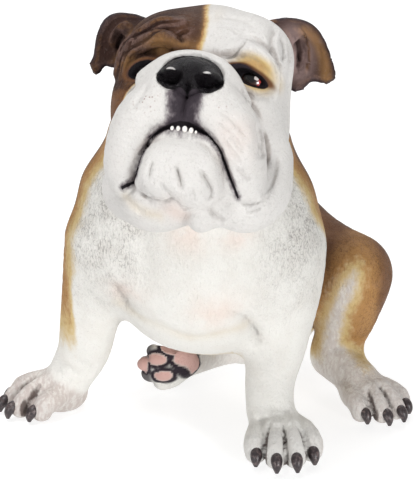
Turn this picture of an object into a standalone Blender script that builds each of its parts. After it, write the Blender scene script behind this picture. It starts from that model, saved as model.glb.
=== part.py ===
# Bulldog garden statue: one cast and painted piece, sitting on its right hip with the head raised.
# The figure is drawn in centimetres at its real height, and scaled where that height is changed. +X is the dog's left, -Y its front, +Z up.

import math

import bmesh
import bpy
import numpy as np
from mathutils import Euler, Matrix, Vector

# Driving sizes, in metres
STATUE_HEIGHT = 0.525
BLOCK_GRAIN = 0.0042
SOLID_TRIANGLES = 9000
WELD = 0.00005

# The drawing's own scale: the figure is this many units high, a centimetre each
DRAWN_HEIGHT = 52.5
UNIT = STATUE_HEIGHT / DRAWN_HEIGHT

# The head's own frame: its origin lies between the eyes, and it looks up and to the dog's right
HEAD_PLACE = (-1.1, -8.5, 46.1)
HEAD_PITCH = -26.0
HEAD_YAW = -9.0
HEAD_ROLL = 5.0


def frame(place=(0, 0, 0), turn=(0, 0, 0), order="XYZ"):
    """A local frame: turned by degrees about its axes, then moved to its place."""
    turned = Euler([math.radians(a) for a in turn], order).to_matrix().to_4x4()
    return Matrix.Translation(place) @ turned


HEAD = frame(HEAD_PLACE, (HEAD_PITCH, HEAD_ROLL, HEAD_YAW), "YXZ")


def ball(centre, radii, turn=(0, 0, 0), blend=1.5):
    return {"kind": "ball", "centre": centre, "radii": radii, "turn": turn, "blend": blend}


def bone(points, radii, blend=1.5, steps=4):
    """A limb or a roll of flesh: a smooth line through the points, as thick as the radii say."""
    return {"kind": "bone", "points": points, "radii": radii, "blend": blend, "steps": steps}


def flap(outline, thick, bowl, blend=0.5):
    """A thin cupped sheet such as an ear: an outline in the local XZ plane, its middle set back by the bowl."""
    return {"kind": "flap", "outline": outline, "half": thick / 2, "bowl": bowl, "blend": blend}


def stroke(points, width, depth, front=4.0):
    """A crease drawn on the local XZ plane and cut into the surface that faces -Y; a ridge where depth is below zero."""
    return {"points": points, "width": width, "depth": depth, "front": front}


def mirrored(points):
    return [(-p[0], *p[1:]) for p in points]


def both(mass):
    """The mass and its mirror image across the local plane X = 0."""
    other = dict(mass)
    if mass["kind"] == "ball":
        other["centre"] = mirrored([mass["centre"]])[0]
        tx, ty, tz = mass["turn"]
        other["turn"] = (tx, -ty, -tz)
    else:
        other["points"] = mirrored(mass["points"])
    return [mass, other]


def both_strokes(one):
    return [one, dict(one, points=mirrored(one["points"]))]


def smooth_line(rows, steps, closed=False):
    """Catmull-Rom points along a control line, in as many dimensions as its rows have."""
    rows = np.array(rows, float)
    if closed:
        ends = np.vstack([rows[-1], rows, rows[0], rows[1]])
    else:
        ends = np.vstack([2 * rows[0] - rows[1], rows, 2 * rows[-1] - rows[-2]])
    out = []
    for p0, p1, p2, p3 in zip(ends, ends[1:], ends[2:], ends[3:]):
        for t in np.linspace(0, 1, steps, endpoint=False):
            out.append(0.5 * (2 * p1 + (p2 - p0) * t + (2 * p0 - 5 * p1 + 4 * p2 - p3) * t * t
                              + (3 * p1 - p0 - 3 * p2 + p3) * t ** 3))
    if not closed:
        out.append(rows[-1])
    return np.array(out)


def placed(masses, local):
    """The same masses in the drawing's frame, with their lines smoothed and axes worked out."""
    spot = np.array(local)
    done = []
    for mass in masses:
        new = dict(mass)
        if mass["kind"] == "ball":
            turned = Euler([math.radians(a) for a in mass["turn"]]).to_matrix()
            new["at"] = spot[:3, :3] @ np.array(mass["centre"], float) + spot[:3, 3]
            new["axes"] = spot[:3, :3] @ np.array(turned)
            new["box"] = (new["at"] - max(mass["radii"]), new["at"] + max(mass["radii"]))
        elif mass["kind"] == "bone":
            line = smooth_line(np.column_stack([mass["points"], mass["radii"]]), mass["steps"])
            new["line"] = line[:, :3] @ spot[:3, :3].T + spot[:3, 3]
            new["thick"] = line[:, 3]
            new["box"] = (new["line"].min(0) - new["thick"].max(), new["line"].max(0) + new["thick"].max())
        else:
            new["edge"] = smooth_line(mass["outline"], 3, closed=True)
            new["local"] = spot
            size = np.abs(new["edge"]).max() * 1.4
            new["box"] = (spot[:3, 3] - size, spot[:3, 3] + size)
        done.append(new)
    return done


# Masses of the body, in the drawing's frame
BODY = [
    ball((-1.1, 5.5, 22.0), (11.4, 11.0, 12.4), blend=3),
    ball((2.6, 10.5, 16.4), (7.4, 10.0, 7.4), blend=4),
    ball((4.0, 19.0, 17.2), (10.3, 12.0, 12.0), (12, 0, -14), blend=5),
    ball((5.4, 27.0, 12.0), (11.2, 10.5, 12.8), (0, 0, -14), blend=5),
    bone([(-0.8, 10.5, 28.0), (-1.2, 5.8, 33.5), (-1.4, 1.0, 39.0)], [12.0, 10.9, 8.0], blend=4),
    ball((-9.6, 5.5, 24.6), (4.3, 6.8, 8.2), (0, 5, 0), blend=3.5),
    ball((-9.7, 6.0, 29.2), (5.2, 6.0, 4.4), blend=3),
    ball((7.2, 6.0, 28.2), (4.6, 6.0, 4.2), blend=3),
    ball((7.8, 5.5, 22.5), (5.2, 6.8, 8.8), (0, -3, 0), blend=3.5),
]
TAIL = [bone([(6.6, 34.0, 8.0), (8.2, 38.0, 6.6), (9.4, 38.6, 6.0)], [3.0, 1.9, 1.2], blend=1)]
FRONT_RIGHT_ARM = [
    bone([(-12.0, 5.0, 23.0), (-13.6, 6.0, 17.0), (-14.5, 7.4, 12.0), (-15.3, 8.6, 8.0), (-17.0, 9.0, 4.6)],
         [5.0, 3.9, 3.5, 3.2, 2.8], blend=3),
]
FRONT_LEFT_ARM = [
    bone([(8.2, 5.0, 22.0), (8.7, 4.6, 16.0), (8.4, 3.0, 11.5), (7.4, 0.8, 7.5), (7.3, -1.2, 4.4)],
         [5.2, 4.2, 3.5, 3.0, 2.8], blend=3),
]
HIND_LEFT_LEG = [
    bone([(9.5, 24.0, 13.8), (14.0, 18.5, 15.6), (17.7, 14.0, 16.2)], [8.0, 6.2, 4.6], blend=4),
    bone([(18.0, 13.5, 16.0), (17.6, 14.0, 11.5), (16.6, 14.4, 7.2)], [4.4, 3.9, 2.9], blend=2.5),
    bone([(15.8, 15.0, 4.6), (17.2, 12.6, 4.2), (18.8, 10.5, 3.4)], [2.8, 2.7, 2.4], blend=2.0),
]
HIND_RIGHT_LEG = [
    bone([(1.0, 27.0, 8.5), (-1.4, 24.5, 8.0), (-0.8, 22.0, 7.2)], [6.0, 5.2, 4.4], blend=4),
    bone([(1.0, 23.6, 6.2), (4.0, 24.0, 5.6), (7.0, 23.6, 4.6)], [4.0, 3.4, 2.7], blend=2.5),
    bone([(6.8, 22.4, 4.4), (1.2, 18.0, 4.5), (-2.6, 15.2, 4.3)], [2.6, 2.4, 2.4], blend=1.5),
]

# A standing paw in its own frame: toes towards -Y, the sole on Z = 0.
# Each toe is its side offset, its tip's Y and Z, and how high its knuckle is.
TOES = ((-3.15, -3.5, 1.35, 2.6), (-1.1, -5.3, 1.45, 3.3), (1.1, -5.3, 1.45, 3.3), (3.15, -3.5, 1.35, 2.6))


def paw(size=1.0):
    made = [ball((0, 0.6 * size, 1.7 * size), (2.9 * size, 3.2 * size, 2.4 * size), blend=1.2)]
    for side, tip_y, tip_z, knuckle in TOES:
        spine = [(side * 0.3, 1.6, knuckle), (side * 0.8, tip_y + 2.7, knuckle), (side, tip_y + 0.5, 2.1),
                 (side, tip_y, tip_z)]
        spine = [tuple(size * v for v in spot) for spot in spine]
        made.append(bone(spine, [r * size for r in (1.5, 1.4, 1.35, 1.25)], blend=0.25, steps=2))
    return made


def claws(size=1.0):
    made = []
    for side, tip_y, tip_z, _ in TOES:
        curve = [(side, tip_y - 0.6, tip_z + 0.6), (side * 1.03, tip_y - 1.6, tip_z + 0.1), (side * 1.05, tip_y - 2.1, 0.3)]
        curve = [tuple(size * v for v in spot) for spot in curve]
        made.append(bone(curve, [r * size for r in (0.72, 0.66, 0.35)], blend=0.15, steps=2))
    return made


FRONT_LEFT_PAW = frame((8.5, -2.9, 0.0), (0, 0, 4))
FRONT_RIGHT_PAW = frame((-18.8, 9.6, 0.0), (0, 0, -60))
HIND_LEFT_PAW = frame((19.6, 9.2, 0.0), (0, 0, 30))
# The tucked paw lies on its outer side: toes to the dog's right, the sole towards the front
HIND_RIGHT_PAW = frame((-4.1, 14.7, 4.2), (96, 0, -80), "ZXY")
FRONT_PAW_SIZE = 1.03
HIND_PAW_SIZE = 0.95
TUCKED_PAW_SIZE = 0.7

# The head's own masses, in its frame: -Y is the way the nose points
SKULL = [
    ball((0.2, 8.0, 1.8), (8.2, 9.5, 7.9), blend=2),
    ball((4.6, 3.8, 3.2), (4.9, 4.8, 4.8), blend=2),
    ball((-4.2, 3.8, 3.0), (4.7, 4.8, 4.4), blend=2),
    ball((5.8, 5.5, -5.5), (4.3, 6.4, 8.3), blend=2.5),
    ball((-5.1, 5.5, -5.0), (4.2, 6.4, 7.6), blend=2.5),
    ball((-6.4, 3.6, -2.4), (2.9, 4.2, 3.8), blend=2),
    ball((-4.5, 3.0, -12.4), (4.4, 4.8, 4.0), blend=2),
]
SOCKETS = [
    ball((6.1, -1.7, 0.2), (2.5, 2.0, 1.7)),
    ball((-6.2, -1.7, 0.0), (2.5, 2.0, 1.7)),
]
EYES = [
    ball((5.8, 1.0, 0.3), (1.6, 1.6, 1.6)),
    ball((-5.9, 1.0, 0.1), (1.6, 1.6, 1.6)),
]
LIDS = [
    bone([(3.9, -0.7, 0.8), (5.8, -0.9, 1.7), (7.6, 0.2, 0.2)], [0.4, 0.5, 0.4], blend=0.2),
    bone([(4.0, -0.6, 0.5), (5.7, -0.6, -0.9), (7.6, 0.3, -0.2)], [0.4, 0.45, 0.4], blend=0.2),
    bone([(-3.9, -0.7, 0.8), (-5.8, -0.9, 1.4), (-7.6, 0.2, 0.0)], [0.4, 0.6, 0.5], blend=0.2),
    bone([(-4.0, -0.6, 0.4), (-5.8, -0.6, -1.1), (-7.6, 0.3, -0.4)], [0.4, 0.45, 0.4], blend=0.2),
]
BROWS = [
    bone([(2.4, -1.0, 2.6), (4.4, -1.2, 3.3), (6.4, -1.0, 2.8), (8.0, -0.1, 1.2), (8.3, 0.9, -0.6)],
         [0.6, 0.9, 0.8, 0.7, 0.4], blend=1.0),
    bone([(-2.0, -1.2, 2.6), (-4.2, -1.5, 3.2), (-6.2, -1.2, 2.5), (-7.7, -0.3, 0.8), (-7.9, 0.6, -0.9)],
         [0.7, 1.0, 0.9, 0.7, 0.5], blend=0.8),
    bone([(-2.6, -0.3, 5.4), (-4.6, -0.6, 5.0), (-6.3, -0.8, 3.7), (-8.2, 0.0, 2.0), (-9.0, 1.5, -0.4)],
         [0.4, 0.8, 0.8, 0.7, 0.5], blend=0.5),
]
MUZZLE = [
    ball((0.3, -0.8, -5.2), (6.2, 5.8, 6.3), blend=1),
    ball((0.3, -3.3, -0.9), (4.3, 2.8, 2.6), blend=1.5),
    bone([(-1.6, -4.2, -3.2), (-4.1, -3.4, -6.6), (-5.3, -1.9, -10.4), (-5.6, -1.1, -12.4)], [2.9, 3.3, 2.8, 1.7], blend=0.8),
    bone([(2.2, -4.2, -3.2), (4.9, -3.3, -6.6), (6.3, -1.5, -10.4), (6.9, -0.4, -12.2)], [2.9, 3.4, 2.9, 1.9], blend=0.5),
]
CHIN = [
    ball((-1.7, -2.7, -10.8), (3.0, 4.0, 3.7), blend=1.5),
    ball((2.5, -2.7, -10.8), (3.1, 4.0, 3.7), blend=1.5),
    ball((0.8, -2.6, -12.7), (3.8, 3.6, 2.5), blend=1.5),
    ball((0.6, 1.0, -12.6), (5.4, 4.6, 3.0), blend=1.5),
]
DEWLAP = [
    ball((-2.0, 0.4, -14.4), (3.9, 3.8, 2.7), (0, -10, 0), blend=0.8),
    ball((2.9, -0.8, -14.9), (1.5, 2.2, 1.8), blend=0.6),
    bone([(5.4, -0.8, -13.9), (7.4, 0.4, -13.2), (8.6, 2.0, -11.0), (8.4, 4.0, -7.0)], [1.9, 2.7, 2.9, 2.6], blend=1.5),
]
NOSE = [
    ball((0.4, -5.0, -1.2), (3.1, 1.9, 2.1), blend=0.4),
    *[ball((0.4 + side * 1.75, -5.9, -1.9), (1.55, 1.4, 1.3), blend=0.4) for side in (-1, 1)],
]

# Each ear is a cupped flap drawn in a plane that faces the front
LEFT_EAR_FRAME = frame((10.5, 0.0, 46.7), (-14, 0, 0))
LEFT_EAR = [flap([(-4.6, 3.0), (-2.4, 4.0), (0.0, 3.8), (1.6, 2.9), (2.7, 1.2), (3.5, -1.2), (3.9, -3.6), (2.8, -3.5),
                  (1.7, -3.1), (0.8, -3.2), (-0.3, -4.3), (-2.2, -3.2), (-4.4, 0.8)], 0.9, 1.4, blend=0.8),
            bone([(-6.5, 0.5, 1.5), (-3.6, 0.2, 1.4), (-1.2, 0.2, 2.2)], [2.6, 1.8, 0.9], blend=1.0)]
RIGHT_EAR_FRAME = frame((-10.0, 0.0, 47.7), (-14, 0, 0))
RIGHT_EAR = [flap([(4.4, 1.6), (2.8, 3.1), (0.9, 3.6), (-0.5, 3.5), (-1.6, 2.8), (-2.3, 1.4), (-2.6, 0.0), (-2.8, -1.3),
                   (-3.3, -2.2), (-3.5, -3.1), (-2.9, -3.8), (-2.1, -3.2), (-1.4, -2.3), (-0.5, -2.5), (1.5, -2.0),
                   (4.4, 0.0)], 0.9, 1.2, blend=0.8),
             bone([(6.0, 0.5, 0.6), (3.4, 0.2, 0.8), (1.2, 0.2, 1.8)], [2.6, 1.8, 0.9], blend=1.0)]

HEAD_STROKES = [
    stroke([(0.4, -6.5), (1.6, -6.7), (2.7, -7.1), (4.1, -8.1), (5.1, -9.6), (5.8, -11.1), (6.5, -12.6)], 0.5, 0.8, front=0),
    stroke([(0.4, -6.5), (-0.8, -6.9), (-1.9, -7.4), (-2.8, -8.3), (-3.5, -9.8), (-4.0, -11.6), (-5.3, -13.3)], 0.5, 0.8,
           front=0),
    stroke([(0.3, -3.4), (0.3, -4.6), (0.3, -6.6)], 0.32, 0.5, front=-3),
    stroke([(1.5, -1.7), (2.2, -2.3), (3.1, -2.1)], 0.5, 0.9, front=-3),
    stroke([(-0.7, -1.7), (-1.3, -2.3), (-2.2, -2.2)], 0.5, 0.9, front=-3),
    stroke([(3.8, 5.3), (5.3, 4.6), (7.1, 3.6), (8.6, 1.9), (9.1, 0.0)], 0.4, 0.5, front=3),
    stroke([(-3.2, 4.3), (-4.8, 4.2), (-6.2, 3.0), (-7.6, 1.7), (-8.5, 0.4), (-8.8, -1.3)], 0.38, 0.6, front=3),
    stroke([(0.6, -11.2), (0.8, -12.3), (1.3, -13.3)], 0.3, 0.45, front=-1),
    stroke([(2.9, -11.3), (3.5, -12.2), (3.6, -13.2)], 0.3, 0.45, front=-1),
    stroke([(-1.8, -10.9), (-2.0, -11.9)], 0.3, 0.35, front=-1),
]

FIGURE = [
    {"blend": 0.1, "masses": placed(BODY, frame())},
    {"blend": 2.0, "masses": placed(TAIL, frame())},
    {"blend": 3.0, "masses": placed(FRONT_RIGHT_ARM, frame())},
    {"blend": 3.0, "masses": placed(FRONT_LEFT_ARM, frame())},
    {"blend": 3.0, "masses": placed(HIND_LEFT_LEG, frame())},
    {"blend": 1.6, "masses": placed(HIND_RIGHT_LEG, frame())},
    {"blend": 3.0, "masses": placed(SKULL, HEAD)},
    {"blend": 0.7, "masses": placed(LEFT_EAR, LEFT_EAR_FRAME)},
    {"blend": 0.7, "masses": placed(RIGHT_EAR, RIGHT_EAR_FRAME)},
    {"blend": 0.8, "masses": placed(BROWS, HEAD)},
    {"blend": 1.0, "masses": placed(SOCKETS, HEAD), "cut": True},
    {"blend": 0.1, "masses": placed(EYES, HEAD)},
    {"blend": 0.3, "masses": placed(LIDS, HEAD)},
    {"blend": 1.2, "masses": placed(DEWLAP, HEAD)},
    {"blend": 1.0, "masses": placed(CHIN, HEAD)},
    {"blend": 0.4, "masses": placed(MUZZLE, HEAD)},
    {"blend": 0.2, "masses": placed(NOSE, HEAD)},
    {"blend": 1.2, "masses": placed(paw(FRONT_PAW_SIZE), FRONT_LEFT_PAW)},
    {"blend": 1.2, "masses": placed(paw(FRONT_PAW_SIZE), FRONT_RIGHT_PAW)},
    {"blend": 1.2, "masses": placed(paw(HIND_PAW_SIZE), HIND_LEFT_PAW)},
    {"blend": 0.8, "masses": placed(paw(TUCKED_PAW_SIZE), HIND_RIGHT_PAW)},
    {"blend": 0.1, "masses": placed(claws(FRONT_PAW_SIZE), FRONT_LEFT_PAW)},
    {"blend": 0.1, "masses": placed(claws(FRONT_PAW_SIZE), FRONT_RIGHT_PAW)},
    {"blend": 0.1, "masses": placed(claws(HIND_PAW_SIZE), HIND_LEFT_PAW)},
]
CARVING = [(HEAD, HEAD_STROKES)]


def segment_gap(p, a, b):
    """How far each point is from a segment, and how far along it the nearest spot lies, from 0 to 1."""
    run = b - a
    t = np.clip((p - a) @ run / max(run @ run, 1e-12), 0, 1)
    away = p - a - t[:, None] * run
    return np.sqrt(np.einsum("ij,ij->i", away, away)), t


def bowl_depth(mass, x, z):
    reach = np.abs(mass["edge"]).max()
    return mass["bowl"] * np.maximum(1 - (x * x + z * z) / reach ** 2, 0)


def flap_distance(p, mass):
    spot = mass["local"]
    q = (p - spot[:3, 3]) @ spot[:3, :3]
    flat = q[:, [0, 2]]
    edge = mass["edge"]
    near = np.full(len(p), np.inf)
    inside = np.zeros(len(p), bool)
    for a, b in zip(edge, np.roll(edge, -1, axis=0)):
        near = np.minimum(near, segment_gap(flat, a, b)[0])
        crosses = (a[1] > flat[:, 1]) != (b[1] > flat[:, 1])
        rise = b[1] - a[1] if b[1] != a[1] else 1e-9
        inside ^= crosses & (flat[:, 0] < (b[0] - a[0]) * (flat[:, 1] - a[1]) / rise + a[0])
    across = np.where(inside, -near, near) + mass["half"]
    through = np.abs(q[:, 1] - bowl_depth(mass, q[:, 0], q[:, 2]))
    corner = np.hypot(np.maximum(across, 0), through)
    return np.where(across > 0, corner, through) - mass["half"]


def mass_distance(p, mass):
    """Signed distance from points to one mass, below zero inside."""
    if mass["kind"] == "flap":
        return flap_distance(p, mass)
    if mass["kind"] == "ball":
        q = (p - mass["at"]) @ mass["axes"]
        near = np.linalg.norm(q / mass["radii"], axis=1)
        steep = np.linalg.norm(q / np.square(mass["radii"]), axis=1)
        return near * (near - 1) / np.maximum(steep, 1e-9)
    best = np.full(len(p), np.inf)
    line, thick = mass["line"], mass["thick"]
    for a, b, ra, rb in zip(line, line[1:], thick, thick[1:]):
        gap, t = segment_gap(p, a, b)
        best = np.minimum(best, gap - ra - t * (rb - ra))
    return best


def stroke_depth(p, local, one):
    """How deep a stroke cuts at each point, tapering towards its ends."""
    spot = np.array(local)
    q = (p - spot[:3, 3]) @ spot[:3, :3]
    line = smooth_line(one["points"], 3)
    low, high = line.min(0) - 3 * one["width"], line.max(0) + 3 * one["width"]
    flat = q[:, [0, 2]]
    near = np.nonzero(((flat > low) & (flat < high)).all(1) & (q[:, 1] < one["front"]))[0]
    best = np.full(len(near), np.inf)
    along = np.zeros(len(near))
    for i, (a, b) in enumerate(zip(line, line[1:])):
        gap, t = segment_gap(flat[near], a, b)
        closer = gap < best
        best[closer] = gap[closer]
        along[closer] = (i + t[closer]) / (len(line) - 1)
    taper = np.clip(np.minimum(along, 1 - along) * 5, 0.25, 1)
    deep = np.zeros(len(p))
    deep[near] = one["depth"] * taper * np.exp(-(best / one["width"]) ** 2)
    return deep


def soft_min(a, b, k):
    h = np.maximum(k - np.abs(a - b), 0) / k
    return np.minimum(a, b) - h * h * k / 4


def field(p, groups=None):
    """Signed distance to the whole figure, each mass melted into the last by its blend."""
    far, margin = 60.0, 4.0
    total = np.full(len(p), far)
    for group in groups or FIGURE:
        low = np.min([m["box"][0] for m in group["masses"]], axis=0) - margin
        high = np.max([m["box"][1] for m in group["masses"]], axis=0) + margin
        near = np.nonzero(((p > low) & (p < high)).all(1))[0]
        if not len(near):
            continue
        q = p[near]
        d = np.full(len(q), far)
        for mass in group["masses"]:
            d = soft_min(d, mass_distance(q, mass), mass["blend"])
        if group.get("cut"):
            total[near] = -soft_min(-total[near], d, group["blend"])
        else:
            total[near] = soft_min(total[near], d, group["blend"])
    if groups is None:
        for local, strokes in CARVING:
            for one in strokes:
                total += stroke_depth(p, local, one)
    return total


def primitive(make, **sizes):
    """One of Blender's primitives as a mesh of its own."""
    bm = bmesh.new()
    make(bm, **sizes)
    mesh = bpy.data.meshes.new("primitive")
    bm.to_mesh(mesh)
    bm.free()
    return mesh


def primitives_of(mass):
    """A sphere for a ball; spheres and cones along a bone."""
    if mass["kind"] == "ball":
        size = Matrix.Diagonal((*mass["radii"], 1))
        spot = Matrix.Translation(mass["at"]) @ Matrix(mass["axes"]).to_4x4() @ size
        yield primitive(bmesh.ops.create_uvsphere, u_segments=24, v_segments=16, radius=1, matrix=spot)
        return
    if mass["kind"] == "flap":
        yield flap_sheet(mass)
        return
    line, thick = mass["line"], mass["thick"]
    for a, r in zip(line, thick):
        spot = Matrix.Translation(a)
        yield primitive(bmesh.ops.create_uvsphere, u_segments=12, v_segments=8, radius=r, matrix=spot)
    for a, b, ra, rb in zip(line, line[1:], thick, thick[1:]):
        run = Vector(b) - Vector(a)
        turned = run.to_track_quat("Z", "Y").to_matrix().to_4x4()
        spot = Matrix.Translation((Vector(a) + Vector(b)) / 2) @ turned
        yield primitive(bmesh.ops.create_cone, cap_ends=True, segments=12, radius1=ra, radius2=rb,
                        depth=run.length, matrix=spot)


def flap_sheet(mass):
    """A flap's outline filled, cupped and given its thickness."""
    bm = bmesh.new()
    bm.faces.new([bm.verts.new((x, 0, z)) for x, z in mass["edge"]])
    bmesh.ops.triangulate(bm, faces=bm.faces[:])
    bmesh.ops.subdivide_edges(bm, edges=bm.edges[:], cuts=3, use_grid_fill=True)
    for vert in bm.verts:
        vert.co.x, vert.co.z = vert.co.x * 0.93, vert.co.z * 0.93
        vert.co.y = bowl_depth(mass, vert.co.x, vert.co.z) - mass["half"]
    bmesh.ops.recalc_face_normals(bm, faces=bm.faces[:])
    sheet = bm.faces[:]
    made = bmesh.ops.extrude_face_region(bm, geom=sheet, use_keep_orig=True)
    moved = [v for v in made["geom"] if isinstance(v, bmesh.types.BMVert)]
    bmesh.ops.translate(bm, verts=moved, vec=(0, 2 * mass["half"], 0))
    bmesh.ops.recalc_face_normals(bm, faces=bm.faces[:])
    bm.transform(Matrix(mass["local"]))
    mesh = bpy.data.meshes.new("flap")
    bm.to_mesh(mesh)
    bm.free()
    return mesh


def block_out():
    """One mesh of overlapping primitives for every mass of the figure."""
    bm = bmesh.new()
    for group in FIGURE:
        for mass in [] if group.get("cut") else group["masses"]:
            for mesh in primitives_of(mass):
                bm.from_mesh(mesh)
                bpy.data.meshes.remove(mesh)
    whole = bpy.data.meshes.new("bulldog")
    bm.to_mesh(whole)
    bm.free()
    return whole


def evaluated(obj):
    graph = bpy.context.evaluated_depsgraph_get()
    return bpy.data.meshes.new_from_object(obj.evaluated_get(graph))


def points_of(mesh):
    flat = np.empty(len(mesh.vertices) * 3, np.float32)
    mesh.vertices.foreach_get("co", flat)
    return flat.reshape(-1, 3).astype(float)


def put_points(mesh, p):
    mesh.vertices.foreach_set("co", p.astype(np.float32).ravel())
    mesh.update()


def even_out(mesh, rounds=3):
    """Spreads the points evenly, so that no facet folds over in a crease."""
    bm = bmesh.new()
    bm.from_mesh(mesh)
    for _ in range(rounds):
        bmesh.ops.smooth_vert(bm, verts=bm.verts, factor=0.5, use_axis_x=True, use_axis_y=True, use_axis_z=True)
    bm.to_mesh(mesh)
    bm.free()


def settle(p, rounds=5, step=0.05):
    """Moves points onto the figure's surface, down the field's own slope."""
    for _ in range(rounds):
        d = field(p)
        slope = np.column_stack([field(p + step * np.eye(3)[i]) - d for i in range(3)]) / step
        steep = np.maximum((slope ** 2).sum(1), 0.2)
        move = -(d / steep)[:, None] * slope
        size = np.linalg.norm(move, axis=1, keepdims=True)
        p = p + move * np.minimum(1, 0.8 / np.maximum(size, 1e-9))
    return p


def outer_shell(mesh):
    """Drops the small shells that gaps between overlapping masses leave inside."""
    bm = bmesh.new()
    bm.from_mesh(mesh)
    left = set(bm.verts)
    shells = []
    while left:
        shell = {left.pop()}
        reached = list(shell)
        while reached:
            vert = reached.pop()
            for link in vert.link_edges:
                other = link.other_vert(vert)
                if other in left:
                    left.remove(other)
                    shell.add(other)
                    reached.append(other)
        shells.append(shell)
    shells.sort(key=len)
    bmesh.ops.delete(bm, geom=[vert for shell in shells[:-1] for vert in shell], context="VERTS")
    bm.to_mesh(mesh)
    bm.free()


def sculpt(grain):
    """The figure as one closed mesh, in drawn units."""
    rough = bpy.data.objects.new("rough", block_out())
    bpy.context.scene.collection.objects.link(rough)
    remesh = rough.modifiers.new("skin", "REMESH")
    remesh.mode = "VOXEL"
    remesh.voxel_size = grain
    bpy.context.view_layer.update()
    mesh = evaluated(rough)
    bpy.data.objects.remove(rough)
    outer_shell(mesh)
    put_points(mesh, settle(points_of(mesh)))
    even_out(mesh)
    put_points(mesh, settle(points_of(mesh), rounds=2))
    return mesh


def thin(mesh, triangles):
    """Collapses edges until the figure has about so many triangles, most of them where it curves."""
    obj = bpy.data.objects.new("dense", mesh)
    bpy.context.scene.collection.objects.link(obj)
    fewer = obj.modifiers.new("fewer", "DECIMATE")
    fewer.ratio = triangles / (2 * len(mesh.polygons))
    fewer.use_collapse_triangulate = True
    bpy.context.view_layer.update()
    thinned = evaluated(obj)
    bpy.data.objects.remove(obj)
    return thinned


def stand(mesh):
    """Brings the figure to size, cuts its soles and rump off flat, and puts the origin under its middle."""
    bm = bmesh.new()
    bm.from_mesh(mesh)
    bmesh.ops.scale(bm, vec=Vector((UNIT, UNIT, UNIT)), verts=bm.verts)
    geometry = bm.verts[:] + bm.edges[:] + bm.faces[:]
    cut = bmesh.ops.bisect_plane(bm, geom=geometry, dist=WELD, plane_co=(0, 0, 0), plane_no=(0, 0, -1), clear_outer=True)
    rim = [part for part in cut["geom_cut"] if isinstance(part, bmesh.types.BMEdge)]
    bmesh.ops.edgeloop_fill(bm, edges=rim)
    bmesh.ops.remove_doubles(bm, verts=bm.verts, dist=WELD)
    bmesh.ops.triangulate(bm, faces=[face for face in bm.faces if len(face.verts) > 3])
    bmesh.ops.recalc_face_normals(bm, faces=bm.faces[:])
    spots = [vert.co for vert in bm.verts]
    middle = [(min(spot[i] for spot in spots) + max(spot[i] for spot in spots)) / 2 for i in (0, 1)]
    bmesh.ops.translate(bm, vec=Vector((-middle[0], -middle[1], 0)), verts=bm.verts)
    for vert in bm.verts:
        vert.co.z = 0 if vert.co.z < WELD else vert.co.z
    bm.to_mesh(mesh)
    bm.free()


def cast_resin():
    """The creamy white of the painted casting."""
    material = bpy.data.materials.new("painted_resin")
    material.use_nodes = True
    shader = material.node_tree.nodes["Principled BSDF"]
    shader.inputs["Base Color"].default_value = (0.80, 0.77, 0.71, 1)
    shader.inputs["Roughness"].default_value = 0.6
    shader.inputs["Metallic"].default_value = 0.0
    return material


def clear_scene():
    for obj in list(bpy.data.objects):
        bpy.data.objects.remove(obj)


def main():
    clear_scene()
    mesh = thin(sculpt(BLOCK_GRAIN / UNIT), SOLID_TRIANGLES)
    stand(mesh)
    mesh.materials.clear()
    mesh.materials.append(cast_resin())
    mesh.shade_smooth()
    mesh.set_sharp_from_angle(angle=math.radians(50))
    collection = bpy.data.collections.new("bulldog_garden_statue")
    bpy.context.scene.collection.children.link(collection)
    collection.objects.link(bpy.data.objects.new("bulldog", mesh))


if __name__ == "__main__":
    main()
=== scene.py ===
# Bulldog garden statue: one resin casting of a seated bulldog, painted by hand.
# The solid comes from model.glb. This script sculpts the fine relief over it, paints it, and lights it.
# The sculpting is done in drawn centimetres: X to the dog's left, -Y to its front, Z up.

import math

import bmesh
import bpy
import numpy as np
from mathutils import Euler, Matrix, Vector


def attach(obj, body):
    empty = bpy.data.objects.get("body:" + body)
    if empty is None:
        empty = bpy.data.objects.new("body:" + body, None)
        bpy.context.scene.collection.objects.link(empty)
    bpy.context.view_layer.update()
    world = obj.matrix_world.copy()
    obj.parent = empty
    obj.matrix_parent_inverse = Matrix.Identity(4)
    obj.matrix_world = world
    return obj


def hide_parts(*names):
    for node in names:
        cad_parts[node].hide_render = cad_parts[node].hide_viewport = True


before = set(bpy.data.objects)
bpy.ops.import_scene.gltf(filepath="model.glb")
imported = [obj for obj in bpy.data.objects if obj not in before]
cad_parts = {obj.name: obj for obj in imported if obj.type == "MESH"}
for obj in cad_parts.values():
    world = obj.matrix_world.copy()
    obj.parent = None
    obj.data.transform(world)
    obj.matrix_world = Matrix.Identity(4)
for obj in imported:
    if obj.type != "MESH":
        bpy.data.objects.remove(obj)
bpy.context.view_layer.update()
print("casting loaded")

shot = {
    "target": (0.0051, -0.1005, 0.25),
    "distance": 1.90,
    "elevation": 18.0,    # degrees above level
    "lens": 123.98,
    "sensor": 36.0,
    "farthest": 50,
}

studio = {
    "floorRadius": 9.0,
    "floorDrop": 0.0004,  # keeps the floor just clear of the soles
    "floorSides": 96,
    "paper": (0.35, 0.35, 0.35, 1),
    "paperRough": 0.9,
    "paperGlow": 0.74,    # a lit sweep, so that the floor stays white round the statue
    "world": 0.34,
    "lamps": [            # place, where it is aimed, size, power
        ((-0.7, -0.7, 2.3), (0, -0.1, 0.2), 0.4, 27),
        ((-1.9, -2.5, 0.8), (0, -0.1, 0.25), 0.5, 24),
        ((1.7, -2.7, 0.7), (0, -0.1, 0.25), 0.6, 50),
        ((0.3, 3.0, 3.0), (0, 2.6, 0.0), 3.0, 90),
    ],
}


def aimed(obj, place, target):
    obj.location = place
    obj.rotation_mode = "QUATERNION"
    obj.rotation_quaternion = (Vector(target) - Vector(place)).to_track_quat("-Z", "Y")
    bpy.context.scene.collection.objects.link(obj)


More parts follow.
